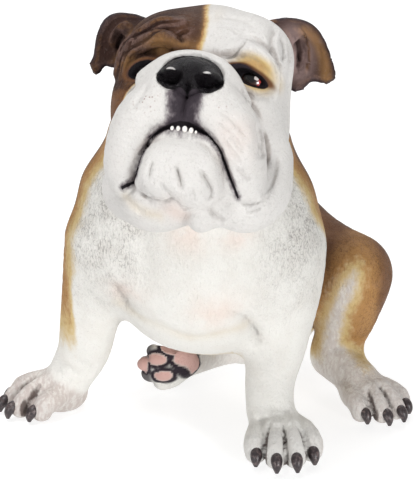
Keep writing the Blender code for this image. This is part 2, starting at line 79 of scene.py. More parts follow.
def makeCamera():
    tilt = math.radians(shot["elevation"])
    away = Vector((0, -math.cos(tilt), math.sin(tilt))) * shot["distance"]
    data = bpy.data.cameras.new("camera")
    data.sensor_width = shot["sensor"]
    data.lens = shot["lens"]
    data.clip_end = shot["farthest"]
    lens = bpy.data.objects.new("camera", data)
    aimed(lens, Vector(shot["target"]) + away, shot["target"])
    bpy.context.scene.camera = lens


def meshFrom(name, bm):
    mesh = bpy.data.meshes.new(name)
    bm.to_mesh(mesh)
    bm.free()
    return mesh


def makeStudio():
    world = bpy.data.worlds.new("studio")
    world.use_nodes = True
    sky = world.node_tree.nodes["Background"].inputs
    sky["Color"].default_value = (1, 1, 1, 1)
    sky["Strength"].default_value = studio["world"]
    bpy.context.scene.world = world
    bpy.context.scene.view_settings.view_transform = "Standard"    # plain whites, as in the photograph
    for place, target, size, power in studio["lamps"]:
        lamp = bpy.data.lights.new("softbox", "AREA")
        lamp.size = size
        lamp.energy = power
        aimed(bpy.data.objects.new("softbox", lamp), place, target)
    bm = bmesh.new()
    bmesh.ops.create_circle(bm, cap_ends=True, segments=studio["floorSides"], radius=studio["floorRadius"])
    bmesh.ops.translate(bm, verts=bm.verts, vec=(0, 0, -studio["floorDrop"]))
    mesh = meshFrom("floor", bm)
    floor = bpy.data.objects.new("floor", mesh)
    bpy.context.scene.collection.objects.link(floor)
    paper = bpy.data.materials.new("studio_paper")
    paper.use_nodes = True
    sheet = paper.node_tree.nodes["Principled BSDF"].inputs
    sheet["Base Color"].default_value = studio["paper"]
    sheet["Roughness"].default_value = studio["paperRough"]
    sheet["Emission Color"].default_value = (1, 1, 1, 1)
    sheet["Emission Strength"].default_value = studio["paperGlow"]
    mesh.materials.append(paper)


makeCamera()
makeStudio()
print("camera, lights and floor ready")

# The casting: how fine its skin is, and where the drawing's middle stands over the solid's origin
casting = {
    "unit": 0.01,              # metres in a drawn centimetre
    "middle": (-0.5101, 10.0455),
    "grain": 0.51,             # the skin's mesh, in drawn centimetres; halved twice on the face
    "headPlace": (-1.1, -8.5, 46.1),
    "headTurn": (-26, 5, -9),  # looks up, leans, and looks to its right
    "fineTo": (2.5, 1.5),      # how far back of the eyes each halving reaches
    "fineTop": 7.5,            # how high on the brow the first one does
    "finePaws": 7.0,           # and how high up the paws
    "worked": 0.04,            # the share of a crease's depth that earns the second one
    "bite": 1.55,              # how much deeper than drawn every crease is cut
    "far": 60.0,               # stands for out of reach
    "margin": 4.0,             # how far round a group of masses its form is felt
    "probe": 0.04,             # the step that the form's slope is read over
    "longestMove": 0.6,        # the most that a point moves at once
    "standing": 0.02,          # points lower than this are soles, and stay on the floor
}


def toDrawn(p):
    return p / casting["unit"] + np.array((*casting["middle"], 0))


def toStatue(p):
    return (p - np.array((*casting["middle"], 0))) * casting["unit"]


def spotFrame(place=(0, 0, 0), turn=(0, 0, 0), order="XYZ"):
    turned = Euler([math.radians(a) for a in turn], order).to_matrix().to_4x4()
    return np.array(Matrix.Translation(place) @ turned)


def toLocal(p, spot):
    return (p - spot[:3, 3]) @ spot[:3, :3]


def fromLocal(q, spot):
    return q @ spot[:3, :3].T + spot[:3, 3]


def ball(centre, radii, turn=(0, 0, 0), blend=1.5):
    return {"kind": "ball", "centre": centre, "radii": radii, "turn": turn, "blend": blend}


def roll(points, radii, blend=1.5, steps=4):    # a limb, or a roll of flesh
    return {"kind": "roll", "points": points, "radii": radii, "blend": blend, "steps": steps}


def flap(outline, thick, bowl, blend):    # a cupped ear, drawn in its own XZ plane
    return {"kind": "flap", "outline": outline, "half": thick / 2, "bowl": bowl, "blend": blend}


# A line cut on the XZ plane, or a ridge where the depth is below zero. It is left out behind front,
# and it fades where the surface turns sideways, between the two values of facing
def crease(points, width, depth, front=4.0, facing=(0.1, 0.55)):
    return {"points": points, "width": width, "depth": depth, "front": front, "facing": facing}


def smoothLine(rows, steps, closed=False):
    rows = np.array(rows, float)
    if closed:
        ends = np.vstack([rows[-1], rows, rows[0], rows[1]])
    else:
        ends = np.vstack([2 * rows[0] - rows[1], rows, 2 * rows[-1] - rows[-2]])
    out = []
    for p0, p1, p2, p3 in zip(ends, ends[1:], ends[2:], ends[3:]):
        for t in np.linspace(0, 1, steps, endpoint=False):
            out.append(0.5 * (2 * p1 + (p2 - p0) * t + (2 * p0 - 5 * p1 + 4 * p2 - p3) * t * t
                              + (3 * p1 - p0 - 3 * p2 + p3) * t ** 3))
    if not closed:
        out.append(rows[-1])
    return np.array(out)


def placed(masses, spot):
    done = []
    for mass in masses:
        new = dict(mass)
        if mass["kind"] == "ball":
            turned = Euler([math.radians(a) for a in mass["turn"]]).to_matrix()
            new["at"] = spot[:3, :3] @ np.array(mass["centre"], float) + spot[:3, 3]
            new["axes"] = spot[:3, :3] @ np.array(turned)
            new["box"] = (new["at"] - max(mass["radii"]), new["at"] + max(mass["radii"]))
        elif mass["kind"] == "roll":
            line = smoothLine(np.column_stack([mass["points"], mass["radii"]]), mass["steps"])
            new["line"] = fromLocal(line[:, :3], spot)
            new["thick"] = line[:, 3]
            new["box"] = (new["line"].min(0) - new["thick"].max(), new["line"].max(0) + new["thick"].max())
        else:
            new["edge"] = smoothLine(mass["outline"], 3, closed=True)
            new["spot"] = spot
            size = np.abs(new["edge"]).max() * 1.4
            new["box"] = (spot[:3, 3] - size, spot[:3, 3] + size)
        done.append(new)
    return done


everywhere = spotFrame()
headSpot = spotFrame(casting["headPlace"], casting["headTurn"], "YXZ")

# The body: chest, belly, back, rump, neck and shoulders
bodyMasses = [
    ball((-1.1, 5.5, 22.0), (11.4, 11.0, 12.4), blend=3),
    ball((2.6, 10.5, 16.4), (7.4, 10.0, 7.4), blend=4),
    ball((4.0, 19.0, 17.2), (10.3, 12.0, 12.0), (12, 0, -14), blend=5),
    ball((5.4, 27.0, 12.0), (11.2, 10.5, 12.8), (0, 0, -14), blend=5),
    roll([(-0.8, 10.5, 28.0), (-1.2, 5.8, 33.5), (-1.4, 1.0, 39.0)], [12.0, 10.9, 8.0], blend=4),
    ball((-9.6, 5.5, 24.6), (4.3, 6.8, 8.2), (0, 5, 0), blend=3.5),
    ball((-9.7, 6.0, 29.2), (5.2, 6.0, 4.4), blend=3),
    ball((7.2, 6.0, 28.2), (4.6, 6.0, 4.2), blend=3),
    ball((7.8, 5.5, 22.5), (5.2, 6.8, 8.8), (0, -3, 0), blend=3.5),
]
tailMasses = [roll([(6.6, 34.0, 8.0), (8.2, 38.0, 6.6), (9.4, 38.6, 6.0)], [3.0, 1.9, 1.2], blend=1)]
frontRightArm = [
    roll([(-12.0, 5.0, 23.0), (-13.6, 6.0, 17.0), (-14.5, 7.4, 12.0), (-15.3, 8.6, 8.0), (-17.0, 9.0, 4.6)],
         [5.0, 3.9, 3.5, 3.2, 2.8], blend=3),
]
frontLeftArm = [
    roll([(8.2, 5.0, 22.0), (8.7, 4.6, 16.0), (8.4, 3.0, 11.5), (7.4, 0.8, 7.5), (7.3, -1.2, 4.4)],
         [5.2, 4.2, 3.5, 3.0, 2.8], blend=3),
]
hindLeftLeg = [
    roll([(9.5, 24.0, 13.8), (14.0, 18.5, 15.6), (17.7, 14.0, 16.2)], [8.0, 6.2, 4.6], blend=4),
    roll([(18.0, 13.5, 16.0), (17.6, 14.0, 11.5), (16.6, 14.4, 7.2)], [4.4, 3.9, 2.9], blend=2.5),
    roll([(15.8, 15.0, 4.6), (17.2, 12.6, 4.2), (18.8, 10.5, 3.4)], [2.8, 2.7, 2.4], blend=2.0),
]
hindRightLeg = [
    roll([(1.0, 27.0, 8.5), (-1.4, 24.5, 8.0), (-0.8, 22.0, 7.2)], [6.0, 5.2, 4.4], blend=4),
    roll([(1.0, 23.6, 6.2), (4.0, 24.0, 5.6), (7.0, 23.6, 4.6)], [4.0, 3.4, 2.7], blend=2.5),
    roll([(6.8, 22.4, 4.4), (1.2, 18.0, 4.5), (-2.6, 15.2, 4.3)], [2.6, 2.4, 2.4], blend=1.5),
]

# Paws stand with their toes towards -Y; each toe is its side, its tip's Y and Z, and its knuckle's height
toes = ((-3.15, -3.5, 1.35, 2.6), (-1.1, -5.3, 1.45, 3.3), (1.1, -5.3, 1.45, 3.3), (3.15, -3.5, 1.35, 2.6))
paws = {
    "frontLeft": {"spot": spotFrame((8.5, -2.9, 0.0), (0, 0, 4)), "size": 1.03},
    "frontRight": {"spot": spotFrame((-18.8, 9.6, 0.0), (0, 0, -60)), "size": 1.03},
    "hindLeft": {"spot": spotFrame((19.6, 9.2, 0.0), (0, 0, 30)), "size": 0.95},
    "tucked": {"spot": spotFrame((-4.1, 14.7, 4.2), (96, 0, -80), "ZXY"), "size": 0.7},
}


def pawMasses(size):
    made = [ball((0, 0.6 * size, 1.7 * size), (2.9 * size, 3.2 * size, 2.4 * size), blend=1.2)]
    for side, tipY, tipZ, knuckle in toes:
        spine = [(side * 0.3, 1.6, knuckle), (side * 0.8, tipY + 2.7, knuckle), (side, tipY + 0.5, 2.1),
                 (side, tipY, tipZ)]
        spine = [tuple(size * v for v in spot) for spot in spine]
        made.append(roll(spine, [r * size for r in (1.5, 1.4, 1.35, 1.25)], blend=0.25, steps=2))
    return made


# The head, in its own frame: its origin lies between the eyes, and -Y is the way the nose points
skullMasses = [
    ball((0.2, 8.0, 1.8), (8.2, 9.5, 7.9), blend=2),
    ball((4.6, 3.8, 3.2), (4.9, 4.8, 4.8), blend=2),
    ball((-4.2, 3.8, 3.0), (4.7, 4.8, 4.4), blend=2),
    ball((5.8, 5.5, -5.5), (4.3, 6.4, 8.3), blend=2.5),
    ball((-5.1, 5.5, -5.0), (4.2, 6.4, 7.6), blend=2.5),
    ball((-6.4, 3.6, -2.4), (2.9, 4.2, 3.8), blend=2),
    ball((-4.5, 3.0, -12.4), (4.4, 4.8, 4.0), blend=2),
]
browMasses = [
    roll([(2.4, -1.0, 2.6), (4.4, -1.2, 3.3), (6.4, -1.0, 2.8), (8.0, -0.1, 1.2), (8.3, 0.9, -0.6)],
         [0.6, 0.9, 0.8, 0.7, 0.4], blend=1.0),
    roll([(-2.0, -1.2, 2.6), (-4.2, -1.5, 3.2), (-6.2, -1.2, 2.5), (-7.7, -0.3, 0.8), (-7.9, 0.6, -0.9)],
         [0.7, 1.0, 0.9, 0.7, 0.5], blend=0.8),
    roll([(-2.6, -0.3, 5.4), (-4.6, -0.6, 5.0), (-6.3, -0.8, 3.7), (-8.2, 0.0, 2.0), (-9.0, 1.5, -0.4)],
         [0.4, 0.8, 0.8, 0.7, 0.5], blend=0.5),
]
socketCuts = [ball((6.0, -1.5, 0.25), (2.3, 1.8, 1.35)), ball((-5.8, -1.5, -0.4), (2.1, 1.8, 1.3))]
eyeBeds = [ball((5.8, 1.4, 0.3), (1.6, 1.6, 1.6)), ball((-5.6, 1.4, -0.3), (1.6, 1.6, 1.6))]
lidMasses = [
    roll([(3.7, -0.5, 0.9), (4.7, -0.9, 1.45), (5.9, -0.9, 1.4), (7.0, -0.3, 0.75), (7.8, 0.3, -0.3)],
         [0.35, 0.55, 0.62, 0.55, 0.35], blend=0.5),
    roll([(3.8, -0.5, 0.3), (4.9, -0.6, -0.55), (6.2, -0.5, -0.95), (7.7, 0.2, -0.55)],
         [0.35, 0.45, 0.5, 0.35], blend=0.5),
    roll([(-3.7, -0.5, 0.4), (-4.8, -0.8, 0.8), (-6.0, -0.8, 0.55), (-7.0, -0.1, -0.45), (-7.4, 0.4, -1.2)],
         [0.35, 0.55, 0.62, 0.55, 0.35], blend=0.5),
    roll([(-3.8, -0.5, -0.3), (-5.2, -0.6, -1.35), (-6.3, -0.3, -1.75), (-7.3, 0.3, -1.4)],
         [0.35, 0.42, 0.45, 0.35], blend=0.5),
]
muzzleMasses = [
    ball((0.3, -0.8, -5.2), (6.2, 5.8, 6.3), blend=1),
    ball((0.3, -3.3, -0.9), (4.3, 2.8, 2.6), blend=1.5),
    roll([(-6.9, -1.0, -5.4), (-5.7, -2.0, -3.0), (-4.0, -3.2, -1.2), (-1.9, -4.1, 0.15), (0.4, -4.3, 0.6),
          (2.5, -4.1, 0.1), (4.2, -3.3, -1.2), (5.6, -2.2, -2.8)],
         [1.0, 1.3, 1.25, 1.05, 0.95, 1.05, 1.15, 0.9], blend=0.7),
    roll([(-1.6, -4.2, -3.2), (-4.1, -3.4, -6.6), (-5.3, -1.9, -10.4), (-5.6, -1.1, -12.4)],
         [2.9, 3.3, 2.8, 1.7], blend=0.8),
    roll([(2.2, -4.2, -3.2), (4.9, -3.3, -6.6), (6.3, -1.5, -10.4), (6.9, -0.4, -12.2)],
         [2.9, 3.4, 2.9, 1.9], blend=0.5),
]
chinMasses = [
    ball((-1.7, -2.7, -10.8), (3.0, 4.0, 3.7), blend=1.5),
    ball((2.5, -2.7, -10.8), (3.1, 4.0, 3.7), blend=1.5),
    ball((0.8, -2.6, -12.7), (3.8, 3.6, 2.5), blend=1.5),
    ball((0.4, -3.0, -9.9), (2.6, 3.7, 3.0), blend=1.5),
    ball((0.6, 1.0, -12.6), (5.4, 4.6, 3.0), blend=1.5),
]
dewlapMasses = [
    ball((-2.0, 0.4, -14.4), (3.9, 3.8, 2.7), (0, -10, 0), blend=0.8),
    ball((2.9, -0.8, -14.9), (1.5, 2.2, 1.8), blend=0.6),
    roll([(5.4, -0.8, -13.9), (7.4, 0.4, -13.2), (8.6, 2.0, -11.0), (8.4, 4.0, -7.0)],
         [1.9, 2.7, 2.9, 2.6], blend=1.5),
]
noseMasses = [
    ball((0.4, -5.2, -1.3), (3.15, 2.0, 2.1), blend=0.4),
    *[ball((0.4 + side * 1.85, -6.0, -1.9), (1.55, 1.4, 1.35), blend=0.35) for side in (-1, 1)],
]
nostrilCuts = [ball((0.4 + side * 1.7, -7.4, -2.0), (0.95, 1.0, 0.6), (0, side * 20, 0)) for side in (-1, 1)]

# The ears, each drawn on the XZ plane of its own spot, with its cup towards the front
leftEar = {
    "spot": spotFrame((10.5, 0.0, 46.7), (-14, 0, 0)),
    "outline": [(-4.6, 3.0), (-2.4, 4.0), (0.0, 3.8), (1.6, 2.9), (2.7, 1.2), (3.5, -1.2), (3.9, -3.6),
                (2.8, -3.5), (1.7, -3.1), (0.8, -3.2), (-0.3, -4.3), (-2.2, -3.2), (-4.4, 0.8)],
    "bowl": 1.4,
    "side": 1,
    "pink": 0.95,                            # how strongly the hollow is tinted, its middle and its reach
    "hollow": ((-1.0, -0.2), (1.8, 2.9)),
    "band": [(0.2, 2.6), (1.6, 1.4), (2.4, -0.6), (2.6, -2.8)],
    "root": roll([(-6.5, 0.5, 1.5), (-3.6, 0.2, 1.4), (-1.2, 0.2, 2.2)], [2.6, 1.8, 0.9], blend=1.0),
    "ridges": [
        crease([(-2.2, 2.6), (-1.7, 1.0), (-1.5, -0.8), (-1.7, -2.4)], 0.3, -0.42, front=3),
        crease([(-1.5, 2.9), (-0.7, 1.4), (-0.4, -0.4), (-0.8, -2.2)], 0.26, 0.4, front=3),
        crease([(-0.6, 3.0), (0.5, 1.4), (0.7, -0.6), (0.2, -2.6)], 0.3, -0.4, front=3),
        crease([(-2.8, 1.6), (-2.5, 0.2), (-2.6, -1.4)], 0.26, 0.4, front=3),
        crease([(1.6, 1.4), (2.1, -0.6), (1.9, -2.4)], 0.3, 0.22, front=3),
    ],
}
rightEar = {
    "spot": spotFrame((-10.0, 0.0, 47.7), (-14, 0, 0)),
    "outline": [(4.4, 1.6), (2.8, 3.1), (0.9, 3.6), (-0.5, 3.5), (-1.6, 2.8), (-2.3, 1.4), (-2.6, 0.0),
                (-2.8, -1.3), (-3.3, -2.2), (-3.5, -3.1), (-2.9, -3.8), (-2.1, -3.2), (-1.4, -2.3),
                (-0.5, -2.5), (1.5, -2.0), (4.4, 0.0)],
    "bowl": 1.2,
    "side": -1,
    "pink": 0.25,
    "hollow": ((0.6, 0.6), (0.9, 1.1)),
    "band": [(1.8, 1.0), (1.0, -0.6), (0.2, -1.8)],
    "root": roll([(6.0, 0.5, 0.6), (3.4, 0.2, 0.8), (1.2, 0.2, 1.8)], [2.6, 1.8, 0.9], blend=1.0),
    "ridges": [
        crease([(1.6, 2.2), (0.4, 2.2), (-0.6, 1.2), (-0.8, -0.4)], 0.26, -0.32, front=3),
        crease([(1.8, 1.4), (0.7, 1.2), (0.1, 0.2), (0.0, -1.2)], 0.28, 0.4, front=3),
        crease([(2.2, 0.6), (1.4, 0.0), (1.1, -1.2)], 0.24, -0.28, front=3),
    ],
}

# The folds, wrinkles and cuts of the face, drawn on the head's XZ plane
mouthRight = [(0.2, -6.6), (0.9, -6.6), (1.5, -6.7), (2.4, -6.95), (3.2, -7.4), (4.0, -8.1), (4.6, -8.8),
              (5.0, -9.6), (5.8, -11.2), (6.3, -12.0), (6.7, -12.8)]
mouthLeft = [(0.2, -6.6), (-0.9, -6.95), (-1.9, -7.3), (-2.7, -8.1), (-3.1, -9.0), (-3.5, -10.2),
             (-3.8, -11.4), (-4.2, -12.4), (-4.8, -12.9), (-5.5, -13.4)]
faceCreases = [
    crease(mouthRight, 0.36, 0.6, front=1),
    crease(mouthLeft, 0.36, 0.6, front=1),
    crease([(0.35, -1.6), (0.35, -3.4), (0.3, -4.6), (0.3, -7.0)], 0.26, 0.4, front=-2),
    crease([(1.2, -1.3), (1.7, -2.1), (2.4, -2.3), (3.3, -1.9), (3.8, -1.6)], 0.36, 0.7, front=-2),
    crease([(-0.4, -1.3), (-0.9, -2.1), (-1.6, -2.3), (-2.5, -2.0), (-3.0, -1.7)], 0.36, 0.7, front=-2),
    crease([(-2.9, -1.9), (-2.5, -0.7), (-1.5, 0.3), (0.4, 0.85), (2.3, 0.4), (3.4, -0.6), (3.8, -1.8)],
           0.22, 0.4, front=-1),
    crease([(-2.9, -1.9), (-2.1, -3.0), (-0.8, -3.25), (0.4, -3.7), (1.6, -3.25), (2.9, -3.0), (3.8, -1.8)],
           0.22, 0.3, front=-1),
    # the rims of the nostrils
    crease([(1.3, -2.6), (1.5, -1.7), (2.2, -1.25), (3.0, -1.5), (3.3, -2.2)], 0.26, -0.16, front=-3),
    crease([(-0.5, -2.6), (-0.7, -1.7), (-1.4, -1.25), (-2.2, -1.5), (-2.5, -2.2)], 0.26, -0.16, front=-3),
    # the hood of the muzzle over the nose, and the folds of the cheek
    crease([(-4.6, -0.4), (-3.2, 0.5), (-2.2, 1.2), (-0.9, 1.8), (0.4, 1.95), (1.6, 1.6), (2.6, 0.9),
            (3.7, 0.1)], 0.3, 0.22, front=1),
    crease([(5.0, -1.4), (5.7, -2.2), (6.4, -2.8), (7.0, -3.4), (7.6, -4.2)], 0.22, 0.34, front=2),
    crease([(7.7, -4.9), (8.0, -5.7), (8.35, -6.7), (8.5, -7.8), (8.4, -8.9)],
           0.3, 0.5, front=2, facing=(-0.2, 0.3)),
    crease([(9.2, -6.7), (9.6, -7.8), (9.65, -9.2), (9.6, -10.6), (9.2, -12.2)],
           0.34, 0.26, front=4, facing=(-0.2, 0.3)),
    crease([(7.0, -13.2), (8.0, -13.1), (9.0, -12.7)], 0.24, 0.22, front=3),
    crease([(7.6, -14.1), (8.4, -13.8), (9.1, -13.2)], 0.24, 0.2, front=3),
    crease([(3.6, -4.7), (5.0, -5.3), (6.3, -6.3), (7.4, -7.2)], 0.26, 0.2, front=0),
    crease([(3.6, -6.1), (5.0, -6.8), (6.4, -8.0), (7.3, -9.0)], 0.26, 0.2, front=0),
    crease([(4.7, -7.7), (6.0, -8.8), (6.9, -10.0)], 0.26, 0.2, front=0),
    crease([(5.9, -9.9), (7.1, -10.7), (8.0, -10.9)], 0.3, 0.24, front=0),
    crease([(-3.7, -2.4), (-4.2, -4.2), (-5.1, -5.9)], 0.4, 0.18, front=0),
    # the brows: a rope of skin on the dog's right, and soft folds on its left
    crease([(-2.4, 5.6), (-3.8, 5.2), (-4.8, 4.9), (-6.0, 3.9), (-7.2, 3.2), (-8.3, 2.3), (-8.9, 1.2)],
           0.24, 0.32, front=3),
    crease([(-2.6, 4.5), (-3.8, 4.3), (-4.6, 3.9), (-5.4, 3.0), (-6.4, 2.3), (-7.5, 1.7), (-8.0, 1.0),
            (-8.3, 0.1), (-8.2, -0.9)], 0.3, 0.34, front=3),
    crease([(-1.4, 4.6), (-2.5, 3.8), (-1.6, 2.8)], 0.3, 0.3, front=2),
    crease([(-5.4, 1.9), (-4.4, 2.4), (-3.3, 2.3), (-2.2, 1.6)], 0.26, 0.3, front=1),
    crease([(-7.6, 0.7), (-6.6, 1.3), (-5.4, 1.6), (-4.4, 1.6)], 0.22, 0.3, front=1),
    crease([(4.6, 5.1), (5.7, 4.4), (6.7, 4.0), (7.6, 3.3), (8.2, 2.3), (8.5, 1.5), (8.6, 0.2)],
           0.34, 0.34, front=3),
    crease([(0.5, 7.1), (1.8, 6.8), (3.3, 6.7), (4.5, 6.4), (5.7, 5.6)], 0.46, 0.2, front=4),
    crease([(1.2, 6.1), (2.6, 6.1), (4.0, 5.8)], 0.4, 0.13, front=4),
    crease([(1.5, 5.4), (2.5, 5.5), (3.5, 5.0), (4.3, 4.8)], 0.34, 0.2, front=3),
    crease([(2.2, 2.1), (3.0, 2.1), (3.6, 2.35), (4.1, 2.8), (4.7, 3.6), (5.0, 4.7)], 0.28, 0.32, front=2),
    crease([(5.6, 3.3), (6.4, 3.0), (7.2, 2.3), (7.7, 1.4)], 0.3, 0.14, front=3),
    # the chin and the clefts under it
    crease([(-1.9, -10.7), (-2.05, -11.3), (-2.15, -12.0), (-2.15, -12.8)], 0.2, 0.26, front=-1),
    crease([(0.5, -10.9), (0.7, -11.5), (1.0, -12.1), (1.2, -12.8), (1.5, -13.6)], 0.22, 0.36, front=0),
    crease([(2.9, -11.0), (3.3, -11.5), (3.8, -12.1), (4.15, -12.7), (4.1, -13.4), (3.8, -14.1)],
           0.24, 0.42, front=0),
    crease([(-0.9, -12.9), (-0.3, -13.5), (0.4, -14.0)], 0.2, 0.22, front=-1),
    crease([(2.3, -13.0), (2.6, -13.6), (2.5, -14.3)], 0.2, 0.18, front=-1),
    crease([(-3.9, -11.9), (-3.6, -12.9), (-3.1, -13.7), (-2.0, -14.2), (-0.7, -14.35), (0.4, -14.1),
            (1.2, -14.6), (2.0, -14.75), (3.0, -14.5), (3.9, -14.0)], 0.3, 0.46, front=0),
    crease([(1.7, -14.6), (1.5, -15.1), (1.25, -15.6), (1.0, -16.4)], 0.26, 0.44, front=2),
    crease([(3.8, -14.0), (4.2, -14.6), (4.9, -15.0), (5.8, -15.2)], 0.34, 0.26, front=1),
    crease([(-5.2, -14.1), (-3.9, -15.1), (-2.5, -15.9)], 0.4, 0.2, front=2),
]

# The body's folds, drawn on the statue's own XZ plane
bodyCreases = [
    crease([(-10.5, 17.3), (-9.4, 16.8), (-7.9, 16.0), (-5.6, 15.5), (-3.7, 14.6), (-2.0, 14.1), (0.2, 14.2),
            (2.3, 14.8), (4.2, 15.3)], 0.6, 0.22, front=3),
    crease([(-11.0, 20.3), (-10.4, 19.1), (-9.5, 17.9), (-9.1, 16.4)], 0.5, 0.5, front=4),
    crease([(3.7, 16.9), (4.6, 15.7), (5.5, 14.3), (5.8, 13.1), (5.5, 12.0)], 0.42, 0.5, front=3),
    crease([(2.3, 17.8), (3.7, 17.0), (5.1, 16.0)], 0.45, 0.3, front=3),
    crease([(4.9, 5.0), (6.3, 5.5), (8.4, 5.4), (10.3, 4.5)], 0.3, 0.22, front=3),
    crease([(5.2, 3.8), (6.6, 4.3), (8.3, 4.5), (9.9, 4.3)], 0.28, 0.26, front=3),
    crease([(-19.3, 6.5), (-17.3, 6.9), (-15.6, 5.6)], 0.28, 0.24, front=14),
    crease([(-19.2, 5.9), (-17.8, 5.7), (-16.6, 4.5)], 0.26, 0.22, front=14),
    crease([(-16.7, 8.2), (-15.0, 7.7), (-13.7, 6.5)], 0.28, 0.2, front=14),
    crease([(15.2, 6.6), (16.5, 7.0), (17.9, 6.7), (19.8, 5.7)], 0.3, 0.3, front=14),
    crease([(15.3, 7.7), (16.7, 7.9), (18.3, 7.4), (19.8, 6.8)], 0.3, 0.26, front=14),
    crease([(15.7, 8.8), (17.0, 9.0), (18.7, 8.4), (20.0, 8.0)], 0.3, 0.22, front=14),
    crease([(-10.6, 34.7), (-9.7, 32.5), (-8.4, 29.6), (-7.0, 26.4)], 0.8, 0.2, front=4),
]

# The gaps between the toes, drawn looking down on each standing paw
toeGaps = [crease(points, width, depth, front=-0.4, facing=(-0.6, -0.1)) for points, width, depth in (
    ([(-1.3, -2.2), (-1.8, -3.3), (-2.15, -4.4), (-2.35, -5.8)], 0.34, 0.36),
    ([(0.0, -2.4), (0.0, -3.8), (0.0, -5.4), (0.0, -7.0)], 0.36, 0.34),
    ([(1.3, -2.2), (1.8, -3.3), (2.15, -4.4), (2.35, -5.8)], 0.34, 0.36),
)]
standingPaws = ("frontLeft", "frontRight", "hindLeft")
lookingDown = np.array(Matrix.Rotation(math.radians(-90), 4, "X"))

# The sole of the tucked paw, which faces the front
padMasses = [
    ball((-2.9, 12.5, 4.9), (1.9, 1.05, 1.65), (0, 15, 0), blend=0.1),
    ball((-4.7, 12.7, 6.6), (1.2, 0.95, 0.78), (0, 20, 0), blend=0.1),
    ball((-6.2, 12.4, 5.3), (1.2, 0.95, 0.75), blend=0.1),
    ball((-5.4, 12.2, 3.4), (1.3, 0.95, 0.85), (0, -12, 0), blend=0.1),
    ball((-8.0, 13.0, 4.3), (0.95, 0.9, 0.85), blend=0.1),
]


def earMasses(ear):
    return [flap(ear["outline"], 0.9, ear["bowl"], blend=0.8), ear["root"]]


def group(masses, spot, blend, cut=False):
    return {"masses": placed(masses, spot), "blend": blend, "cut": cut}


def pawGroup(name, blend):
    return group(pawMasses(paws[name]["size"]), paws[name]["spot"], blend)


# The whole figure, put together in this order
figure = {
    "body": group(bodyMasses, everywhere, 0.1),
    "tail": group(tailMasses, everywhere, 2.0),
    "frontRightArm": group(frontRightArm, everywhere, 3.0),
    "frontLeftArm": group(frontLeftArm, everywhere, 3.0),
    "hindLeftLeg": group(hindLeftLeg, everywhere, 3.0),
    "hindRightLeg": group(hindRightLeg, everywhere, 1.6),
    "skull": group(skullMasses, headSpot, 3.0),
    "leftEar": group(earMasses(leftEar), leftEar["spot"], 0.7),
    "rightEar": group(earMasses(rightEar), rightEar["spot"], 0.7),
    "brows": group(browMasses, headSpot, 0.8),
    "sockets": group(socketCuts, headSpot, 0.6, cut=True),
    "eyeBeds": group(eyeBeds, headSpot, 0.1),
    "lids": group(lidMasses, headSpot, 0.25),
    "dewlap": group(dewlapMasses, headSpot, 1.2),
    "chin": group(chinMasses, headSpot, 1.0),
    "muzzle": group(muzzleMasses, headSpot, 0.4),
    "nose": group(noseMasses, headSpot, 0.15),
    "nostrils": group(nostrilCuts, headSpot, 0.3, cut=True),
    "pawFrontLeft": pawGroup("frontLeft", 1.2),
    "pawFrontRight": pawGroup("frontRight", 1.2),
    "pawHindLeft": pawGroup("hindLeft", 1.2),
    "pawTucked": pawGroup("tucked", 0.8),
    "pads": group(padMasses, everywhere, 0.15),
}
drawings = [(headSpot, faceCreases), (everywhere, bodyCreases)]
drawings += [(ear["spot"], ear["ridges"]) for ear in (leftEar, rightEar)]
drawings += [(paws[name]["spot"] @ lookingDown, toeGaps) for name in standingPaws]
carving = []
for spot, creases in drawings:
    for one in creases:
        line = smoothLine(one["points"], 3)
        carving.append({**one, "spot": spot, "line": line, "depth": one["depth"] * casting["bite"]})


def rise(value, low, high):    # 0 below low, 1 above high, smooth between
    t = np.clip((value - low) / (high - low), 0, 1)
    return t * t * (3 - 2 * t)


def segmentGap(p, a, b):
    run = b - a
    t = np.clip((p - a) @ run / max(run @ run, 1e-12), 0, 1)
    away = p - a - t[:, None] * run
    return np.sqrt(np.einsum("ij,ij->i", away, away)), t


def lineGap(flat, line):    # how far from a line, and how far along it from 0 to 1
    best = np.full(len(flat), np.inf)
    along = np.zeros(len(flat))
    for i, (a, b) in enumerate(zip(line, line[1:])):
        gap, t = segmentGap(flat, a, b)
        closer = gap < best
        best[closer] = gap[closer]
        along[closer] = (i + t[closer]) / (len(line) - 1)
    return best, along


def outlineGap(flat, edge):    # below zero inside the outline
    gap = np.full(len(flat), np.inf)
    inside = np.zeros(len(flat), bool)
    for a, b in zip(edge, np.roll(edge, -1, axis=0)):
        gap = np.minimum(gap, segmentGap(flat, a, b)[0])
        crosses = (a[1] > flat[:, 1]) != (b[1] > flat[:, 1])
        climb = b[1] - a[1] if b[1] != a[1] else 1e-9
        inside ^= crosses & (flat[:, 0] < (b[0] - a[0]) * (flat[:, 1] - a[1]) / climb + a[0])
    return np.where(inside, -gap, gap)


def massGap(p, mass):    # how far outside one mass, below zero inside it
    if mass["kind"] == "flap":
        q = toLocal(p, mass["spot"])
        across = outlineGap(q[:, [0, 2]], mass["edge"]) + mass["half"]
        reach = np.abs(mass["edge"]).max()
        cup = mass["bowl"] * np.maximum(1 - (q[:, 0] ** 2 + q[:, 2] ** 2) / reach ** 2, 0)
        through = np.abs(q[:, 1] - cup)
        corner = np.hypot(np.maximum(across, 0), through)
        return np.where(across > 0, corner, through) - mass["half"]
    if mass["kind"] == "ball":
        q = (p - mass["at"]) @ mass["axes"]
        ratio = np.linalg.norm(q / mass["radii"], axis=1)
        steep = np.linalg.norm(q / np.square(mass["radii"]), axis=1)
        return ratio * (ratio - 1) / np.maximum(steep, 1e-9)
    best = np.full(len(p), np.inf)
    for a, b, ra, rb in zip(mass["line"], mass["line"][1:], mass["thick"], mass["thick"][1:]):
        gap, t = segmentGap(p, a, b)
        best = np.minimum(best, gap - ra - t * (rb - ra))
    return best


